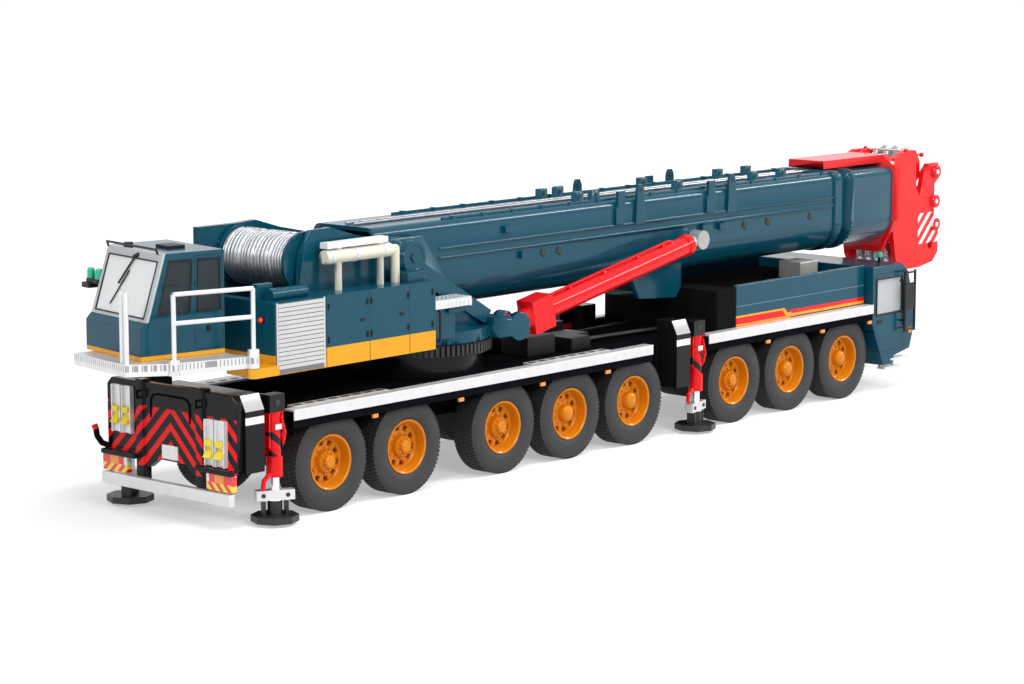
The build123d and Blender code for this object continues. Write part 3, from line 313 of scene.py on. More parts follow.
# Rear lamps are red, amber and white over a striped board; headlamps are white and the beacon green
lamp_paint = Finish("lamp_lenses", RED, roughness=0.12, coat=0.7, amount=0.05)
outward = lamp_paint.sum("ABSOLUTE", lamp_paint.axis("Y"))
lamp_paint.lay(AMBER, lamp_paint.band(outward, 21.2, 25), lamp_paint.band("Z", 14.4, 20))
lamp_paint.lay(WHITE, lamp_paint.band(outward, 17, 18.8), lamp_paint.band("Z", 14.4, 20))
lamp_paint.lay(YELLOW, lamp_paint.band("Z", 8, 14.4), lamp_paint.stripes(
    lamp_paint.sum("ADD", outward, lamp_paint.axis("Z")), 3.4, 0.5))
lamp_paint.lay(WHITE, lamp_paint.band("X", 290, 400))
lamp_paint.lay(GREEN, lamp_paint.band("Z", 49.2, 60))
lamp_paint.lay(BLACK, lamp_paint.band("Z", 47, 49.2))
lamp_paint = lamp_paint.done()

# Outriggers: black beam and head, red jack with dark slanted bands; the foot is chrome, silver and black
jack_paint = paint("jack_paint", RED)
jack_out = jack_paint.sum("ABSOLUTE", jack_paint.axis("Y"))
jack_paint.lay(DARK, jack_paint.band(jack_out, 0, 23.9))
jack_paint.lay(BLACK, jack_paint.band("Z", 33.7, 45))
slant = jack_paint.sum("ADD", jack_paint.axis("Z"), jack_paint.axis("X"))
jack_paint.lay(BLACK, jack_paint.stripes(slant, 6.0, 0.4), jack_paint.band("Z", 20.6, 28),
               jack_paint.band(jack_out, 26.6, 29.3))
jack_paint = jack_paint.done()
foot_paint = Finish("foot_paint", CHROME, roughness=0.12, metallic=1.0, amount=0.05)
foot_paint.lay(SILVER, foot_paint.band("Z", 7.3, 10.5), roughness=0.32, metallic=0.6)
foot_paint.lay(BLACK, foot_paint.band("Z", -1, 7.3), roughness=0.45, metallic=0.0)
foot_paint = foot_paint.done()

# Frame: the closed ends of the outrigger boxes have a silver slope and a white strip
frame_paint = paint("frame_paint", (0.008, 0.008, 0.01, 1), coat=0.1, gloss=0.12)
side_out = frame_paint.sum("ABSOLUTE", frame_paint.axis("Y"))
slope = frame_paint.sum("MULTIPLY_ADD", frame_paint.axis("Z"), 0.5, side_out)
frame_paint.lay((0.55, 0.55, 0.56, 1), frame_paint.band(slope, 46.9, 60), frame_paint.band("Z", 35.4, 40.5),
                roughness=0.35, metallic=0.5)
frame_paint.lay(WHITE, frame_paint.band(side_out, 29.2, 30), frame_paint.band("Z", 31.4, 33.6))
frame_paint = frame_paint.done()

# Boom head: red ahead of its blue tube, with bare sheaves and white slanted bars on the cheeks
head_paint = paint("head_paint", RED)
head_paint.lay(BLUE, head_paint.band("X", 0, 315.7), head_paint.band("Z", 40, 82.9))
head_out = head_paint.sum("ABSOLUTE", head_paint.axis("Y"))
for station, height, radius in ((336.0, 81.5, 6.6), (328.0, 47.0, 5.7)):
    reach = head_paint.sum("POWER", head_paint.sum("SUBTRACT", head_paint.axis("X"), station), 2.0)
    lift = head_paint.sum("POWER", head_paint.sum("SUBTRACT", head_paint.axis("Z"), height), 2.0)
    round_mask = head_paint.sum("LESS_THAN", head_paint.sum("ADD", reach, lift), radius * radius)
    head_paint.lay((0.6, 0.61, 0.62, 1), round_mask, head_paint.band(head_out, 0, 7.55), roughness=0.25,
                   metallic=0.9)
bars = head_paint.stripes(head_paint.sum("SUBTRACT", head_paint.axis("X"), head_paint.axis("Z")), 5.4, 0.45)
head_paint.lay(WHITE, bars, head_paint.band(head_out, 11.9, 13), head_paint.band("X", 336, 352),
               head_paint.band("Z", 50, 62))
head_paint = head_paint.done()

# Luffing rods: chrome with a dull eye
rod_paint = Finish("rod_paint", CHROME, roughness=0.1, metallic=1.0, amount=0.04)
rod_paint.lay((0.4, 0.4, 0.38, 1), rod_paint.band("X", 182.4, 195), roughness=0.4, metallic=0.6)
rod_paint = rod_paint.done()

# Platform: bare metal with a raised grating on the walkway
platform_metal = Finish("platform_metal", SILVER, roughness=0.34, metallic=0.55, cab=True, relief=0.6)
rib_x = platform_metal.sum("SINE", platform_metal.sum("MULTIPLY", platform_metal.axis("X"), 4.6))
rib_y = platform_metal.sum("SINE", platform_metal.sum("MULTIPLY", platform_metal.axis("Y"), 4.6))
for rib in ("X", "Y"):
    platform_metal.lay((0.3, 0.3, 0.31, 1), platform_metal.stripes(platform_metal.axis(rib), 1.2, 0.3),
                       platform_metal.band("Z", 49.4, 51.2))
platform_metal.height = platform_metal.all(rib_x, rib_y, platform_metal.band("Z", 51.3, 51.8))
platform_metal = platform_metal.done()
engine_paint = Finish("engine_paint", BLACK, roughness=0.38, amount=0.2, gloss=0.0)
engine_paint.lay((0.45, 0.44, 0.42, 1), engine_paint.band("Z", 44.4, 60), engine_paint.band("X", 255, 268),
                 roughness=0.35, metallic=0.5)
engine_paint = engine_paint.done()
exhaust_paint = Finish("exhaust_paint", CREAM, roughness=0.42)
exhaust_paint.lay(WHITE, exhaust_paint.band("Z", 78.7, 82))
exhaust_paint = exhaust_paint.done()


# Shapes
def flank(side, inner, outer):
    """Widths between two distances from the middle, on the left (1) or the right (-1)."""
    return sorted((side * inner, side * outer))


class Fitting:
    """Shapes of one finish that ride together on one body."""

    def __init__(self, name, body, finish, seat=carrier_seat):
        self.name, self.body, self.finish, self.seat = name, body, finish, seat
        self.shape = bmesh.new()

    def soften(self, verts, soft, segments=2):
        edges = list({edge for vert in verts for edge in vert.link_edges})
        bmesh.ops.bevel(self.shape, geom=edges, offset=soft, offset_type="OFFSET", affect="EDGES",
                        segments=segments, profile=0.5, material=-1, clamp_overlap=True)

    def slab(self, along, across, up, soft=0.15):
        """A box with softened edges between two stations, widths and heights."""
        verts = bmesh.ops.create_cube(self.shape, size=1)["verts"]
        ranges = (along, across, up)
        bmesh.ops.scale(self.shape, vec=[high - low for low, high in ranges], verts=verts)
        bmesh.ops.translate(self.shape, vec=[(low + high) / 2 for low, high in ranges], verts=verts)
        if soft:
            self.soften(verts, soft)

    def rod(self, start, end, radius, sides=12, tip=None):
        """A round bar, or a cone, between two points."""
        start, end = Vector(start), Vector(end)
        turn = (end - start).to_track_quat("Z", "Y").to_matrix().to_4x4()
        bmesh.ops.create_cone(self.shape, cap_ends=True, segments=sides, radius1=radius,
                              radius2=radius if tip is None else tip, depth=(end - start).length,
                              matrix=Matrix.Translation((start + end) / 2) @ turn)

    def ball(self, centre, radius):
        bmesh.ops.create_uvsphere(self.shape, u_segments=12, v_segments=8, radius=radius,
                                  matrix=Matrix.Translation(centre))

    def rail(self, points, radius, sides=10):
        """A tube through points, with a ball at every corner."""
        for start, end in zip(points, points[1:]):
            self.rod(start, end, radius, sides)
        for corner in points:
            self.ball(corner, radius)

    def plate(self, points, lift, soft=0.0):
        """A flat plate cut to an outline and raised by its thickness."""
        face = self.shape.faces.new([self.shape.verts.new(point) for point in points])
        grown = bmesh.ops.extrude_face_region(self.shape, geom=[face])["geom"]
        verts = [item for item in grown if isinstance(item, bmesh.types.BMVert)]
        bmesh.ops.translate(self.shape, vec=lift, verts=verts)
        if soft:
            self.soften(verts, soft)

    def turned(self, profile, centre, steps=40, axis="Y"):
        """A shape turned on a lathe from points of (distance along the axis, radius)."""
        way = {"X": Vector((1, 0, 0)), "Y": Vector((0, 1, 0)), "Z": Vector((0, 0, 1))}[axis]
        out = Vector((0, 0, 1)) if axis != "Z" else Vector((1, 0, 0))
        centre = Vector(centre)
        verts = [self.shape.verts.new(centre + way * along + out * radius) for along, radius in profile]
        edges = [self.shape.edges.new(pair) for pair in zip(verts, verts[1:])]
        bmesh.ops.spin(self.shape, geom=verts + edges, cent=centre, axis=way, angle=2 * math.pi,
                       steps=steps, use_merge=True)
        bmesh.ops.remove_doubles(self.shape, verts=self.shape.verts, dist=0.0005)

    def done(self, angle=35):
        bmesh.ops.transform(self.shape, matrix=self.seat, verts=self.shape.verts)
        bmesh.ops.recalc_face_normals(self.shape, faces=self.shape.faces)
        mesh = bpy.data.meshes.new(self.name)
        self.shape.to_mesh(mesh)
        self.shape.free()
        place_mesh(self.name, mesh, self.body, [self.finish], angle)


def place_mesh(name, mesh, body, finishes, angle=35):
    mesh.shade_smooth()
    mesh.set_sharp_from_angle(angle=math.radians(angle))
    for finish in finishes:
        mesh.materials.append(finish)
    piece = bpy.data.objects.new(name, mesh)
    scene.collection.objects.link(piece)
    piece.modifiers.new("even_faces", "WEIGHTED_NORMAL").keep_sharp = True
    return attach(piece, body)


WELD = 0.000004


def coat_node(node, finish):
    """Gives a CAD solid its finish as it stands."""
    mesh = frame["nodes"][node].data
    mesh.materials.clear()
    mesh.materials.append(finish)


def soften_node(node, finish, soft):
    """Stands for a CAD solid with the same form and its long edges broken."""
    shape = bmesh.new()
    shape.from_mesh(frame["nodes"][node].data)
    bmesh.ops.remove_doubles(shape, verts=shape.verts, dist=WELD)
    if soft:
        bmesh.ops.dissolve_limit(shape, angle_limit=math.radians(1.5), verts=shape.verts, edges=shape.edges)
        sharp = [edge for edge in shape.edges if len(edge.link_faces) == 2
                 and edge.calc_face_angle(0) > math.radians(40) and edge.calc_length() > 0.0012]
        bmesh.ops.bevel(shape, geom=sharp, offset=soft / 1000, offset_type="OFFSET", affect="EDGES",
                        segments=2, profile=0.5, material=-1, clamp_overlap=True)
        bmesh.ops.triangulate(shape, faces=[face for face in shape.faces if len(face.verts) > 4])
    mesh = bpy.data.meshes.new(f"{node}_dressed")
    shape.to_mesh(mesh)
    shape.free()
    body = next(name for name, members in frame["record"]["behaviour"]["bodies"].items() if node in members)
    piece = place_mesh(f"{node}_dressed", mesh, body, [finish], 30)
    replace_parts(piece, node)


for node, finish, soft in (
    ("chassis_frame", frame_paint, 0.3), ("deck", black_gloss, 0.2),
    ("aluminium_trim", bright_aluminium, 0.12), ("rear_body", tail_paint, 0.3), ("lamps", lamp_paint, 0.25),
    ("engine_bay", engine_paint, 0.4), ("engine_cover", cover_paint, 0.4),
    ("carrier_cab", carrier_cab_paint, 0.6), ("machine_housing", housing_paint, 0.35),
    ("turntable_frame", blue_paint, 0), ("exhaust", exhaust_paint, 0), ("boom_base", blue_paint, 0),
    ("boom_tele", blue_paint, 0), ("boom_head", head_paint, 0), ("cylinder_barrels", red_paint, 0),
    ("crane_cab", crane_cab_paint, 0.5), ("cab_platform", platform_metal, 0.3),
    ("crane_cab_seat", seat_cloth, 0.5), ("carrier_cab_seats", seat_cloth, 0.5),
    ("axle_beams", black_satin, 0.3),
):
    soften_node(node, finish, soft)


def glaze_crane_cab(node):
    """Stands for the crane cab's glass; the windscreen is near white, a painted reflection, and paler than the
    side windows.
    """
    shape = bmesh.new()
    shape.from_mesh(frame["nodes"][node].data)
    bmesh.ops.remove_doubles(shape, verts=shape.verts, dist=WELD)
    for face in shape.faces:
        x, _, z = cab_seat.inverted() @ face.calc_center_median()
        face.material_index = 1 if x < screen_x(z) + 1.4 else 0
    mesh = bpy.data.meshes.new("crane_cab_glazing")
    shape.to_mesh(mesh)
    shape.free()
    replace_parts(place_mesh("crane_cab_glazing", mesh, "cab_swing", [side_window, crane_screen_reflection]), node)


glaze_crane_cab("crane_cab_glass")
for corner in ("rear_right", "rear_left", "front_right", "front_left"):
    soften_node(f"outrigger_beam_{corner}", jack_paint, 0.2)
    coat_node(f"outrigger_foot_{corner}", foot_paint)
for node, finish in (
    ("carrier_cab_glass", carrier_glass_reflection), ("cab_mirrors", black_plastic),
    ("cylinder_rods", rod_paint), ("winch_drum", blue_paint), ("louvre_panel", louvre_gap_shade),
):
    coat_node(node, finish)
for node in frame["nodes"]:
    if node.startswith("knuckle"):
        coat_node(node, black_satin)


# Wheels: tyre with rows of tread blocks, dished rim with openings, and a bolted or a smooth hub
def ring_of(shape, verts, count, axis=(0, 1, 0), centre=(0, 0, 0)):
    """Repeats a shape round an axis."""
    faces = list({face for vert in verts for face in vert.link_faces})
    edges = list({edge for face in faces for edge in face.edges})
    bmesh.ops.spin(shape, geom=verts + edges + faces, cent=centre, axis=axis, steps=count - 1,
                   angle=2 * math.pi * (count - 1) / count, use_duplicate=True)


tread_blocks = 72
rim_steps = 40
wheel_y = 22.9
planetary_axles = (8, 7, 6, 3)


def tyre_mesh():
    tyre = Fitting("tyre", None, rubber)
    half = [(3.5, 8.6), (4.1, 9.2), (4.45, 10.4), (4.5, 11.6), (4.42, 13.0), (4.25, 14.0), (3.75, 14.7),
            (2.2, 14.78)]
    tyre.turned([(-3.5, 8.6)] + half + [(-y, r) for y, r in reversed(half)], (0, 0, 0), 60)
    for y, width, shift in ((3.2, 1.6, 0.5), (1.05, 1.7, 0.0), (-1.05, 1.7, 0.5), (-3.2, 1.6, 0.0)):
        verts = bmesh.ops.create_cube(tyre.shape, size=1)["verts"]
        bmesh.ops.scale(tyre.shape, vec=(0.95, width, 0.7), verts=verts)
        bmesh.ops.translate(tyre.shape, vec=(shift, y, 14.63), verts=verts)
        ring_of(tyre.shape, verts, tread_blocks)
    bmesh.ops.recalc_face_normals(tyre.shape, faces=tyre.shape.faces)
    return tyre.shape


def rim_mesh(planetary):
    rim = Fitting("rim", None, orange_paint)
    if planetary:
        hub = [(0.75, 3.6), (2.2, 3.4), (2.5, 3.15), (2.5, 2.1), (3.5, 1.95), (3.9, 1.5), (3.9, 0)]
    else:
        hub = [(0.75, 3.7), (1.1, 3.0), (2.9, 2.75), (3.55, 2.2), (3.9, 1.2), (3.9, 0)]
    dish = [(3.9, 8.56), (3.95, 8.2), (3.7, 7.85), (2.4, 7.6), (0.6, 7.3), (0.3, 6.9), (0.45, 6.4),
            (0.55, 4.8), (0.75, 4.4)]
    rim.turned([(-3.9, 7.7), (-3.9, 8.56)] + dish + hub, (0, 0, 0), rim_steps)
    rim.turned([(-3.9, 7.7), (-0.9, 7.5), (-0.9, 0)], (0, 0, 0), rim_steps)
    bmesh.ops.recalc_face_normals(rim.shape, faces=rim.shape.faces)
    for face in rim.shape.faces:
        face.material_index = 1
    openings = []
    for face in rim.shape.faces:
        middle = face.calc_center_median()
        turn = round((math.atan2(middle.x, middle.z) % (2 * math.pi)) / (2 * math.pi) * rim_steps - 0.5)
        if 5.0 < math.hypot(middle.x, middle.z) < 6.2 and middle.y > 0.2 and turn % 4 < 2:
            openings.append(face)
    grown = bmesh.ops.extrude_face_region(rim.shape, geom=openings)["geom"]
    sunk = [item for item in grown if isinstance(item, bmesh.types.BMVert)]
    bmesh.ops.translate(rim.shape, vec=(0, -1.1, 0), verts=sunk)
    bmesh.ops.delete(rim.shape, geom=openings, context="FACES_ONLY")
    # The sunken openings take the near-black: painted shade in the recesses.
    for item in grown:
        if isinstance(item, bmesh.types.BMFace):
            item.material_index = 2
    bolts = ((2.62, 0.26, 2.5, 12), (4.05, 0.3, 0.7, 10)) if planetary else ((4.05, 0.3, 0.7, 10),)
    for radius, size, base, count in bolts:
        made = bmesh.ops.create_cone(rim.shape, cap_ends=True, segments=6, radius1=size, radius2=size * 0.9,
                                     depth=0.7, matrix=Matrix.Translation((0, base + 0.25, radius))
                                     @ Matrix.Rotation(math.radians(-90), 4, "X"))["verts"]
        for face in {face for vert in made for face in vert.link_faces}:
            face.material_index = 1
        ring_of(rim.shape, made, count)
    return rim.shape


def wheel_mesh(planetary):
    parts = []
    for shape in (tyre_mesh(), rim_mesh(planetary)):
        mesh = bpy.data.meshes.new("wheel_part")
        shape.to_mesh(mesh)
        shape.free()
        parts.append(mesh)
    return parts


wheel_parts = {planetary: wheel_mesh(planetary) for planetary in (True, False)}


def wheel_piece(name, body, axle, sides, centre):
    shape = bmesh.new()
    for side in sides:
        for part in wheel_parts[axle in planetary_axles]:
            before = len(shape.verts)
            shape.from_mesh(part)
            shape.verts.ensure_lookup_table()
            new = shape.verts[before:]
            seat = (Matrix.Translation((centre[0], side * wheel_y / 1000, centre[2]))
                    @ Matrix.Rotation(0 if side > 0 else math.pi, 4, "Z") @ Matrix.Scale(0.001, 4))
            bmesh.ops.transform(shape, verts=new, matrix=seat)
    if len(sides) == 2:
        across = Matrix.Translation(centre) @ Matrix.Rotation(math.pi / 2, 4, "X")
        made = bmesh.ops.create_cone(shape, cap_ends=True, segments=20, radius1=0.0016, radius2=0.0016,
                                     depth=0.044, matrix=across)["verts"]
        for face in {face for vert in made for face in vert.link_faces}:
            face.material_index = 2
    mesh = bpy.data.meshes.new(name)
    shape.to_mesh(mesh)
    shape.free()
    piece = place_mesh(name, mesh, body, [rubber, orange_paint, axle_dark_and_recess_shade])
    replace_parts(piece, body)


for axle in (1, 2, 3, 4, 7, 8):
    for side, side_name in ((1, "left"), (-1, "right")):
        wheel_piece(f"road_wheel_{axle}_{side_name}", f"wheel_{axle}_{side_name}", axle, (side,),
                    joints[f"spin_{axle}_{side_name}"]["pos_m"])
for axle in (5, 6):
    wheel_piece(f"road_wheels_{axle}", f"wheels_{axle}", axle, (1, -1), joints[f"spin_{axle}"]["pos_m"])

# Winch: a full layer of rope between the flanges and two part layers over it
rope = Fitting("winch_rope", "winch", steel_rope)
drum_station, drum_z = 2, 74.4
rope_r, steps_a_turn = 0.55, 32
for start, radius, turns, pitch in ((-13.2, 7.95, 22, 1.2), (-8.4, 8.25, 7, 1.5), (5.0, 8.25, 5, 1.45)):
    upright = (Matrix.Translation((drum_station, start, drum_z + radius))
               @ Matrix.Rotation(math.pi / 2, 4, "Y"))
    made = bmesh.ops.create_circle(rope.shape, segments=8, radius=rope_r, matrix=upright)["verts"]
    ends = list({edge for vert in made for edge in vert.link_edges})
    bmesh.ops.spin(rope.shape, geom=made + ends, cent=(drum_station, 0, drum_z), axis=(0, 1, 0),
                   angle=2 * math.pi * turns, steps=steps_a_turn * turns, dvec=(0, pitch / steps_a_turn, 0))
bmesh.ops.holes_fill(rope.shape, edges=[edge for edge in rope.shape.edges if edge.is_boundary])
rope.done(60)

# Louvre: slats across the panel in its frame, over the panel painted dark grey as the shade in the gaps
slats = Fitting("louvre_slats", "turntable", louvre_white)
louvre_y, slat_pitch = -29.3, 1.3
for i in range(15):
    low = 46.2 + i * slat_pitch
    high = low + 1.0
    slat = ((-23.6, low), (-5.0, low), (-5.0, high), (-23.6, high))
    slats.plate([(x, louvre_y, z) for x, z in slat], (0, -0.08, 0.1))
for x in (-24.2, -4.9):
    slats.slab((x - 0.1, x + 0.5), (louvre_y - 0.1, louvre_y + 0.1), (44.9, 65.9), 0.05)
slats.done()

# Crane cab: black window frames, wiper, roof bar and plate, handle, and green lamps on a bracket
frames = Fitting("crane_cab_frames", "cab_swing", black_plastic, cab_seat)
for pane in (((-25.6, 64.6), (-15.0, 64.4), (-14.0, 79.8), (-21.6, 79.8)),
             ((-12.4, 64.6), (-4.6, 64.5), (-4.6, 79.6), (-12.1, 79.8))):
    for y in (10.16, 41.24):
        frames.rail([(x, y, z) for x, z in pane + pane[:1]], 0.22, 8)


def on_screen(across, z, lift=0.0):
    """A point on the crane cab's raked windscreen."""
    return (screen_x(z) - lift, across, z)


corners = [on_screen(y, z) for y, z in ((12.2, 63.6), (39.2, 63.6), (39.2, 79.6), (12.2, 79.6))]
frames.rail(corners + corners[:1], 0.24, 8)
frames.rail([(-24.4, 12, 82), (-24.8, 12, 83.2), (-24.8, 39.4, 83.2), (-24.4, 39.4, 82)], 0.35)
frames.rod(on_screen(24.0, 80.4, 0.4), on_screen(29.5, 72.0, 0.5), 0.32, 8)
frames.rod(on_screen(22.8, 80.8, 0.3), on_screen(24.6, 80.0, 0.5), 0.6, 8)
frames.rod(on_screen(25.6, 76.0, 0.3), on_screen(31.6, 66.0, 0.3), 0.24, 6)
frames.slab((-27.5, -24.5), (41, 47.5), (70.4, 71.8), 0.2)
frames.slab((-28.5, -24.0), (44.5, 48.5), (69.0, 70.6), 0.2)
frames.slab((-16.0, -10.0), (20.0, 27.0), (81.9, 82.9), 0.3)
frames.slab((-9.2, -8.0), (9.5, 10.4), (58.6, 60.2), 0.2)
frames.rod((-22.0, 32.0, 82.0), (-22.0, 32.0, 83.4), 1.4, 16)
frames.done()
lamps_green = Fitting("cab_warning_lamps", "cab_swing", green_lens, cab_seat)
for y, z in ((47.0, 71.6), (42.4, 71.6)):
    lamps_green.turned([(0, 0), (0, 1.25), (2.6, 1.15), (3.2, 0.8), (3.4, 0)], (-26, y, z), 16, "Z")
lamps_green.done()

# Tail: chock holders, hatch, blank plate, tow hook and grab handles
holders = Fitting("chock_holders", "carrier", bright_aluminium)
chocks = Fitting("wheel_chocks", "carrier", yellow_plastic)
for inner, low, high in ((16.2, 24.0, 38.4), (-24.8, 18.8, 32.6)):
    for column in (inner, inner + 4.5):
        holders.slab((-40.8, -39.9), (column, column + 4.1), (low, high), 0.2)
        for edge in (column, column + 3.6):
            holders.slab((-41.7, -40.7), (edge, edge + 0.5), (low, high), 0.1)
        top = high - 0.44 * (high - low)
        chocks.slab((-42.3, -40.7), (column + 0.6, column + 3.5), (top - 1.7, top), 0.3)
        chocks.plate([(-40.7, column + 0.6, top - 2.2), (-43.1, column + 0.6, top - 5.0),
                      (-40.7, column + 0.6, top - 5.4)], (0, 2.9, 0), 0.2)
holders.done()
chocks.done()
hatch = Fitting("tail_hatch", "carrier", black_gloss)
hatch_half = [(8.6, 30.2), (8.6, 35.4), (7.4, 36.8), (5.8, 37.2)]
hatch.rail([(-40.1, -y, z) for y, z in hatch_half] + [(-40.1, y, z) for y, z in reversed(hatch_half)], 0.3, 8)
for y in (-13.6, 12.4):
    hatch.rail([(x, y, z) for x, z in ((-40.4, 35.6), (-42.0, 35.6), (-42.0, 37.6), (-40.4, 37.6))], 0.35)
hatch.rail([(-40.0, 27.6, 18.9), (-41.6, 29.4, 19.8), (-42.6, 30.4, 22.0), (-42.8, 30.6, 24.0)], 0.9)
hatch.done()
plain_plate = Fitting("blank_plate", "carrier", white_paint)
plain_plate.slab((-40.5, -39.9), (-3.2, 3.6), (18.2, 22.4), 0.15)
plain_plate.done()
hook_tip = Fitting("hook_tip", "carrier", red_paint)
hook_tip.rod((-42.8, 30.6, 24.0), (-43.0, 31.2, 25.4), 0.95)
hook_tip.done()

# Outriggers: pressure pipes, a blank plate and an eye on each jack with a near-black disc as painted shade in its
# hole, and bolts through each foot bracket
foot_turns = {"rear_right": -30, "rear_left": 30, "front_right": 15, "front_left": -15}
jack_y = 27.2
jacks = {
    "rear_right": (-23.9, -1), "rear_left": (-32.7, 1), "front_right": (177.0, -1), "front_left": (168.2, 1),
}
for corner, (station, side) in jacks.items():
    pipe = Fitting(f"jack_pipe_{corner}", f"outrigger_beam_{corner}", red_paint)
    for radius, route in (
        (0.75, ((0.0, 27.4, 15.4), (-3.4, 28.2, 15.2), (-5.6, 28.6, 13.8), (-6.0, 28.6, 11.6))),
        (0.45, ((2.0, 29.0, 24.4), (2.3, 29.5, 27.5), (1.2, 29.3, 32.0))),
    ):
        pipe.rail([(station + along, side * out, z) for along, out, z in route], radius)
    pipe.done()
    label = Fitting(f"jack_plate_{corner}", f"outrigger_beam_{corner}", white_paint)
    label.slab((station - 1.3, station + 1.3), flank(side, 29.05, 29.35), (28.6, 30.2), 0.1)
    label.done()
    # A near-black disc in the jack's eye: painted shade in the hole.
    hole = Fitting(f"jack_eye_{corner}", f"outrigger_beam_{corner}", axle_dark_and_recess_shade)
    hole.rod((station, side * 28.6, 36.4), (station, side * 28.95, 36.4), 1.0, 20)
    hole.done()
    bolts = Fitting(f"foot_bolts_{corner}", f"outrigger_foot_{corner}", black_satin)
    heading = Matrix.Rotation(math.radians(foot_turns[corner]), 3, "Z")
    for along in (-3.7, 3.7):
        middle = Vector((station, side * jack_y, 8.9))
        bolts.rod(*[middle + heading @ Vector((along, y, 0)) for y in (-1.75, 1.75)], 0.65)
    bolts.done()

# Deck: slotted tread strips, marker lamps, equipment ahead of the turntable and the slewing ring's teeth
treads = Fitting("tread_strips", "carrier", bright_aluminium)
slots = Fitting("tread_slots", "carrier", black_satin)
for side in (1, -1):
    for start, end in ((-14.0, 26.0), (92.0, 132.0)):
        treads.slab((start, end), flank(side, 22.4, 26.2), (32.9, 33.8), 0.2)
        for i in range(int((end - start) / 5)):
            station = start + 2.5 + 5 * i
            slots.slab((station - 1.7, station + 1.7), flank(side, 23.5, 25.2), (33.6, 33.86), 0.1)
treads.done()
slots.done()
markers = Fitting("side_markers", "carrier", amber_lens)
for side in (1, -1):
    for station in (16.5, 55.0, 94.0, 127.0, 216.0, 249.0, 279.0):
        markers.slab((station - 1.2, station + 1.2), flank(side, 28.7, 29.6), (26.6, 27.9), 0.2)
markers.done()
gear = Fitting("deck_gear", "carrier", black_plastic)
for along, across, up in (((104, 118), (-14, -2), (33, 39.5)), ((106, 116), (3, 15), (33, 38.2)),
                          ((124, 134), (-16, -8), (33, 37.4)), ((121, 146), (-5, 5), (33, 36.2)),
                          ((138, 148), (8, 17), (33, 38.6))):
    gear.slab(along, across, up, 0.5)
for y in (-7.5, -6.0, 6.2):
    gear.rail([(118, y, 34.6), (136, y * 1.2, 34.6), (150, y, 34.2), (184, y * 1.4, 34.2)], 0.55)
gear.done()
teeth = Fitting("ring_teeth", "carrier", black_satin)
ring = (joints["slew"]["pos_m"][0] - rear_axle) * 1000
teeth.slab((ring + 23.6, ring + 24.7), (-0.5, 0.5), (40.0, 43.2), 0.0)
ring_of(teeth.shape, list(teeth.shape.verts), 84, (0, 0, 1), (ring, 0, 0))
teeth.done()

# Housing: step plate and bracket, hinges, handles, knob, accumulator, valve blocks and silencer bands
chequer = Finish("chequer_plate", SILVER, roughness=0.35, metallic=0.5, relief=0.7)
waves = []
for operation in ("ADD", "SUBTRACT"):
    slanted = chequer.sum(operation, chequer.axis("X"), chequer.axis("Y"))
    waves.append(chequer.sum("SINE", chequer.sum("MULTIPLY", slanted, 3.4)))
chequer.height = chequer.sum("MAXIMUM", *waves)
chequer = chequer.done()
step = Fitting("housing_step", "turntable", chequer)
step.slab((43.6, 61.0), (-28.4, -20.9), (58.0, 59.4), 0.2)
step.slab((60.2, 61.2), (-28.4, -20.9), (56.4, 58.6), 0.15)
step.slab((43.6, 61.0), (-28.6, -27.9), (56.6, 58.6), 0.15)
step.done()
works = Fitting("housing_works", "turntable", blue_paint)
works.rod((-21.5, -23.2, 67.4), (-7.0, -23.2, 67.4), 2.0, 20)
works.slab((43.8, 47.0), (-27.6, -19.8), (46.0, 57.0), 0.4)
works.slab((47.0, 56.0), (-26.0, -24.0), (46.5, 58.2), 0.3)
works.slab((52.0, 60.0), (-27.0, -20.8), (54.6, 58.2), 0.3)
for along, across, up in (
    ((-23.6, -17.0), (-20.4, -17.9), (65.6, 70.6)), ((34.0, 42.0), (-26.4, -18.2), (65.8, 69.0)),
    ((28.0, 42.0), (18.4, 26.8), (65.8, 69.6)), ((-20.0, 4.0), (19.0, 27.0), (65.8, 68.8)),
    ((8.0, 24.0), (19.6, 26.0), (65.8, 71.0)),
):
    works.slab(along, across, up, 0.5)
works.done()
hardware = Fitting("housing_hardware", "turntable", black_plastic)
for side in (1, -1):
    for station in (-2.4, 14.0, 15.8, 31.8, 42.6):
        for z in (52.6, 62.6):
            hardware.rod((station, side * 28.9, z - 0.9), (station, side * 28.9, z + 0.9), 0.35, 8)
    for station in (12.0, 29.0):
        hardware.slab((station - 0.9, station + 0.9), flank(side, 28.7, 29.1), (56.8, 57.6), 0.12)
hardware.rod((-25.4, -24.0, 60.6), (-24.6, -24.0, 60.6), 1.0)
hardware.rail([(46.0, -28.0, 46.6), (46.0, -28.9, 47.4), (46.0, -28.9, 56.0), (46.0, -28.0, 56.6)], 0.4)
hardware.done()
knob = Fitting("stop_knob", "turntable", red_lens)
knob.ball((-25.6, -24.0, 60.6), 0.9)
knob.done()
bands = Fitting("silencer_bands", "turntable", bright_aluminium)
for station in (4.5, 15.0, 27.0):
    bands.rod((station - 0.6, -22.5, 76.4), (station + 0.6, -22.5, 76.4), 2.3, 24)
bands.done()

# Boom foot: ringed caps on the pivot
caps = Fitting("pivot_caps", "turntable", blue_paint)
cap_profile = ((20.4, 0), (20.4, 5.2), (21.0, 5.0), (21.0, 3.9), (20.8, 3.7), (20.8, 1.6), (21.3, 1.4),
               (21.3, 0))
boom_pivot = (43, 0, 72.5)
for side in (1, -1):
    caps.turned([(side * along, radius) for along, radius in cap_profile], boom_pivot, 40)
caps.done()

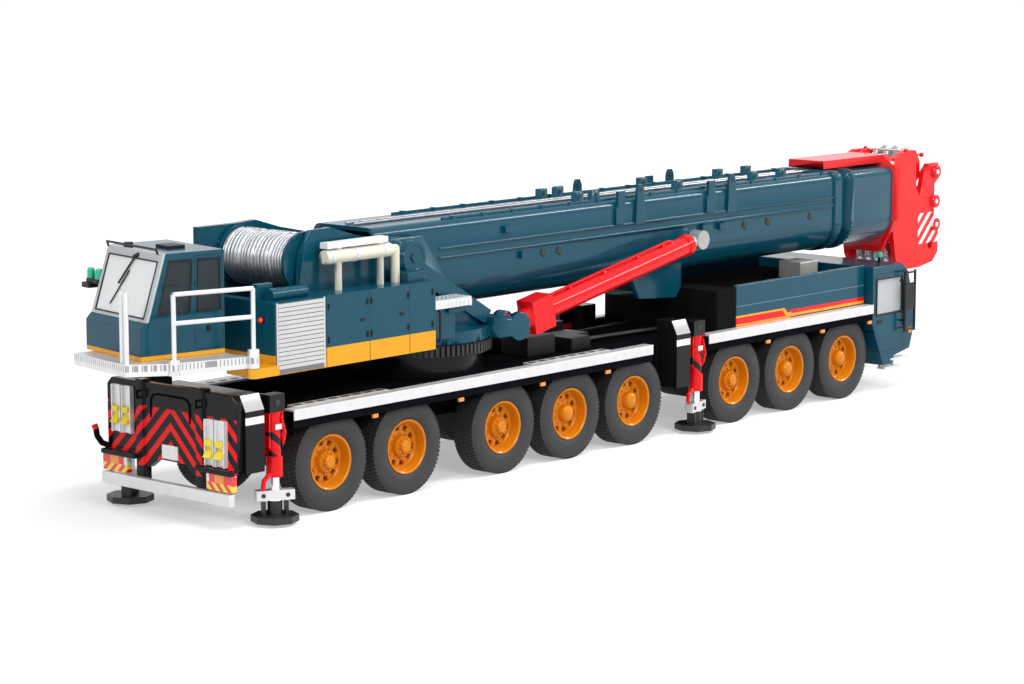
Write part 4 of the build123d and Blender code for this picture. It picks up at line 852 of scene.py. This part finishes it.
# Boom: pressure pipes with clips, plates and lugs on the sides, hoist ropes, near-black discs in the lugs' eyes as
# painted shade, and small near-black plates on the sides
boom_works = Fitting("boom_works", "boom", blue_paint)
tall_lugs = (162.0, 213.5)
for side in (1, -1):
    boom_works.rod((66, side * 11.0, 82.0), (276, side * 11.0, 82.0), 0.5, 10)
    for i in range(15):
        station = 70 + 14.4 * i
        boom_works.slab((station, station + 1.6), flank(side, 10.2, 11.8), (80.6, 82.7), 0.2)
for along, z in (((92, 95), 75.4), ((100, 101.5), 66.4), ((196, 199), 67.0), ((206, 210), 66.8)):
    for side in (1, -1):
        boom_works.slab(along, flank(side, 13.2, 15.0), (z, z + 2.4), 0.25)
for side in (1, -1):
    y = side * 13.5
    for station in tall_lugs:
        boom_works.plate([(station - 2.7, y, 72.6), (station + 2.7, y, 72.6), (station + 1.8, y, 84.4),
                          (station + 0.9, y, 86.2), (station - 0.9, y, 86.2), (station - 1.8, y, 84.4)],
                         (0, side * 1.1, 0), 0.15)
    for station in (152.0, 202.0):
        boom_works.plate([(station - 3.2, y, 73.4), (station + 1.6, y, 73.4), (station + 1.6, y, 84.6),
                          (station - 2.2, y, 84.6), (station - 2.2, y, 79.6), (station - 3.2, y, 78.4)],
                         (0, side * 1.1, 0), 0.15)
boom_works.done()
hoist = Fitting("hoist_rope", "boom", steel_rope)
for y in (-2.4, 1.2):
    hoist.rod((35, y, 82.25), (276.5, y, 82.25), 0.42, 10)
hoist.done()
# Near-black discs in the lugs' eyes are painted shade in the holes; small near-black plates sit on the boom's
# sides.
lug_eyes = Fitting("lug_eyes", "boom", axle_dark_and_recess_shade)
for station in (136.0, 144.5, 190.0, 234.0, 251.0):
    for side in (1, -1):
        lug_eyes.rod((station, side * 6.95, 83.7), (station, side * 9.05, 83.7), 0.75)
for station in tall_lugs:
    for side in (1, -1):
        lug_eyes.rod((station, side * 13.3, 84.3), (station, side * 14.75, 84.3), 0.75)
for station in (112.0, 120.0, 222.0, 236.0, 262.0):
    for side in (1, -1):
        y = side * 13.3
        lug_eyes.plate([(station - 1.5, y, 66.8), (station - 0.6, y, 68.6), (station + 1.5, y, 67.4),
                        (station + 0.6, y, 65.6)], (0, side * 0.6, 0), 0.1)
lug_eyes.done()
barrel_pipes = Fitting("barrel_pipes", "barrels", red_paint)
barrel_lean = math.radians(11.03)
foot_station, foot_z, barrel_y = 88.5, 46.3, 20.2


def on_barrel(side, distance, lift):
    """A point beside a luffing barrel, at a distance from its foot and a lift off its axis."""
    return (foot_station + distance * math.cos(barrel_lean) - lift * math.sin(barrel_lean), side * barrel_y,
            foot_z + distance * math.sin(barrel_lean) + lift * math.cos(barrel_lean))


for side in (1, -1):
    route = ((17, 3.6), (20, 4.1), (84, 4.1), (86, 3.2))
    barrel_pipes.rail([on_barrel(side, distance, lift) for distance, lift in route], 0.45)
    for distance in (30, 48, 66, 80):
        barrel_pipes.rod(on_barrel(side, distance - 0.5, 3.3), on_barrel(side, distance + 0.5, 3.3), 1.2, 12)
    barrel_pipes.rod(on_barrel(side, 91.5, 0), on_barrel(side, 94.2, 0), 3.75, 24)
barrel_pipes.done()

# Boom head: rope guards at the sheaves, the upper ones with red knobs, and pins in the eyes
guards = Fitting("rope_guards", "head", bright_aluminium)
upper_guards, guard_y = ((330.4, 86.6), (341.2, 84.4)), 9.4
for station, z in upper_guards + ((322.6, 43.0), (333.0, 42.4)):
    guards.rod((station, -guard_y, z), (station, guard_y, z), 0.5)
for station, z in ((347.4, 77.6), (347.0, 66.0), (347.4, 57.0)):
    for side in (1, -1):
        guards.rod((station, side * 8.8, z), (station, side * 13.2, z), 0.95)
guards.done()
knobs = Fitting("guard_knobs", "head", red_paint)
for station, z in upper_guards:
    for y in (-guard_y, guard_y):
        knobs.ball((station, y, z), 0.95)
knobs.done()

# Carrier cab: window frames, handles, indicators and steps
cab_trim = Fitting("carrier_cab_trim", "carrier", black_plastic)
for side in (1, -1):
    pane = [(283.4, 29.3), (300.0, 29.3), (300.0, 42.8), (283.4, 42.8)]
    cab_trim.rail([(x, side * 29.2, z) for x, z in pane + pane[:1]], 0.4, 8)
    cab_trim.slab((284.0, 287.0), flank(side, 29.1, 29.6), (26.2, 27.2), 0.2)
    cab_trim.rail([(301.6, side * 29.2, 24.0), (301.6, side * 29.9, 24.4), (301.6, side * 29.9, 30.0),
                   (301.6, side * 29.2, 30.4)], 0.3, 8)
cab_trim.done()
indicators = Fitting("cab_indicators", "carrier", amber_lens)
for side in (1, -1):
    indicators.slab((304.6, 306.6), flank(side, 28.6, 29.6), (20.4, 22.6), 0.2)
indicators.done()
cab_steps = Fitting("cab_steps", "carrier", bright_aluminium)
for side in (1, -1):
    for along, up in (((289.0, 299.5), (8.2, 9.0)), ((293.0, 304.0), (11.2, 12.0))):
        cab_steps.slab(along, flank(side, 26.0, 29.6), up, 0.15)
    for station in (290.0, 298.5):
        cab_steps.slab((station - 0.4, station + 0.4), flank(side, 26.2, 27.0), (8.4, 14.0), 0.1)
cab_steps.done()


# Floor, lights and world
def seen_rays(tree):
    """One for rays from the camera, off gloss or through glass, and nought for the rest."""
    rays = tree.nodes.new("ShaderNodeLightPath").outputs
    direct = reckon(tree, "MAXIMUM", rays["Is Camera Ray"], rays["Is Glossy Ray"])
    return reckon(tree, "MAXIMUM", direct, rays["Is Transmission Ray"])


pale = bpy.data.materials.new("pale_floor")
pale.use_nodes = True
tree = pale.node_tree
tree.nodes.remove(tree.nodes["Principled BSDF"])
matt = tree.nodes.new("ShaderNodeBsdfDiffuse")
matt.inputs["Color"].default_value = (0.7, 0.7, 0.7, 1)
reach = tree.nodes.new("ShaderNodeVectorMath")
reach.operation = "LENGTH"
feed(tree, reach.inputs[0], tree.nodes.new("ShaderNodeTexCoord").outputs["Object"])
spread = tree.nodes.new("ShaderNodeMapRange")
for socket, value in (("Value", reach.outputs["Value"]), ("From Min", 0.25), ("From Max", 1.1),
                      ("To Min", 0.42), ("To Max", 0.85)):
    feed(tree, spread.inputs[socket], value)
glow = tree.nodes.new("ShaderNodeEmission")
feed(tree, glow.inputs["Strength"], reckon(tree, "MULTIPLY", seen_rays(tree), spread.outputs["Result"]))
both = tree.nodes.new("ShaderNodeAddShader")
feed(tree, both.inputs[0], matt.outputs[0])
feed(tree, both.inputs[1], glow.outputs[0])
feed(tree, tree.nodes["Material Output"].inputs["Surface"], both.outputs[0])
ground = bmesh.new()
bmesh.ops.create_grid(ground, x_segments=1, y_segments=1, size=14)
floor_mesh = bpy.data.meshes.new("floor")
ground.to_mesh(floor_mesh)
ground.free()
floor_mesh.materials.append(pale)
floor = bpy.data.objects.new("floor", floor_mesh)
scene.collection.objects.link(floor)

world = bpy.data.worlds.new("studio")
scene.world = world
world.use_nodes = True
tree = world.node_tree
soft = tree.nodes["Background"]
white = tree.nodes.new("ShaderNodeBackground")
for background, strength in ((soft, 0.3), (white, 1.0)):
    background.inputs["Color"].default_value = (1, 1, 1, 1)
    background.inputs["Strength"].default_value = strength
mixer = tree.nodes.new("ShaderNodeMixShader")
for socket, value in zip(mixer.inputs, (seen_rays(tree), soft.outputs[0], white.outputs[0])):
    feed(tree, socket, value)
feed(tree, tree.nodes["World Output"].inputs["Surface"], mixer.outputs[0])

for name, place, aim, size, power in (
    ("top_strip", (0.0, -0.45, 1.1), (0, 0, 0.05), (1.5, 0.12), 8.0),
    ("right_box", (-0.5, -1.5, 0.9), (0, 0, 0.05), (1.0, 0.5), 13.0),
    ("tail_box", (-1.4, 0.1, 0.7), (0, 0, 0.05), (0.4, 0.4), 6.0),
    ("front_strip", (1.25, -0.72, 0.8), (0.05, 0, 0.06), (0.9, 0.12), 10.0),
):
    data = bpy.data.lights.new(name, "AREA")
    data.shape = "RECTANGLE"
    data.size, data.size_y = size
    data.energy = power
    lamp = bpy.data.objects.new(name, data)
    lamp.location = place
    lamp.rotation_euler = (Vector(aim) - Vector(place)).to_track_quat("-Z", "Y").to_euler()
    scene.collection.objects.link(lamp)

# Camera at the photograph's place
yaw, pitch = math.radians(41.61), math.radians(8.705)
focal_pixels, photo_width, sensor_width = 2862.7, 1024, 36
ahead = Vector((math.cos(pitch) * math.cos(yaw), math.cos(pitch) * math.sin(yaw), -math.sin(pitch)))
aside = Vector((math.sin(yaw), -math.cos(yaw), 0))
camera_data = bpy.data.cameras.new("camera")
camera_data.sensor_fit = "HORIZONTAL"
camera_data.sensor_width = sensor_width
camera_data.lens = focal_pixels / photo_width * sensor_width
camera_data.clip_end = 60
camera = bpy.data.objects.new("camera", camera_data)
turn = Matrix((aside, aside.cross(ahead), -ahead)).transposed()
camera.matrix_world = Matrix.Translation((rear_axle - 0.59569, -0.62853, 0.18092)) @ turn.to_4x4()
scene.collection.objects.link(camera)
scene.camera = camera
scene.view_settings.view_transform = "Standard"
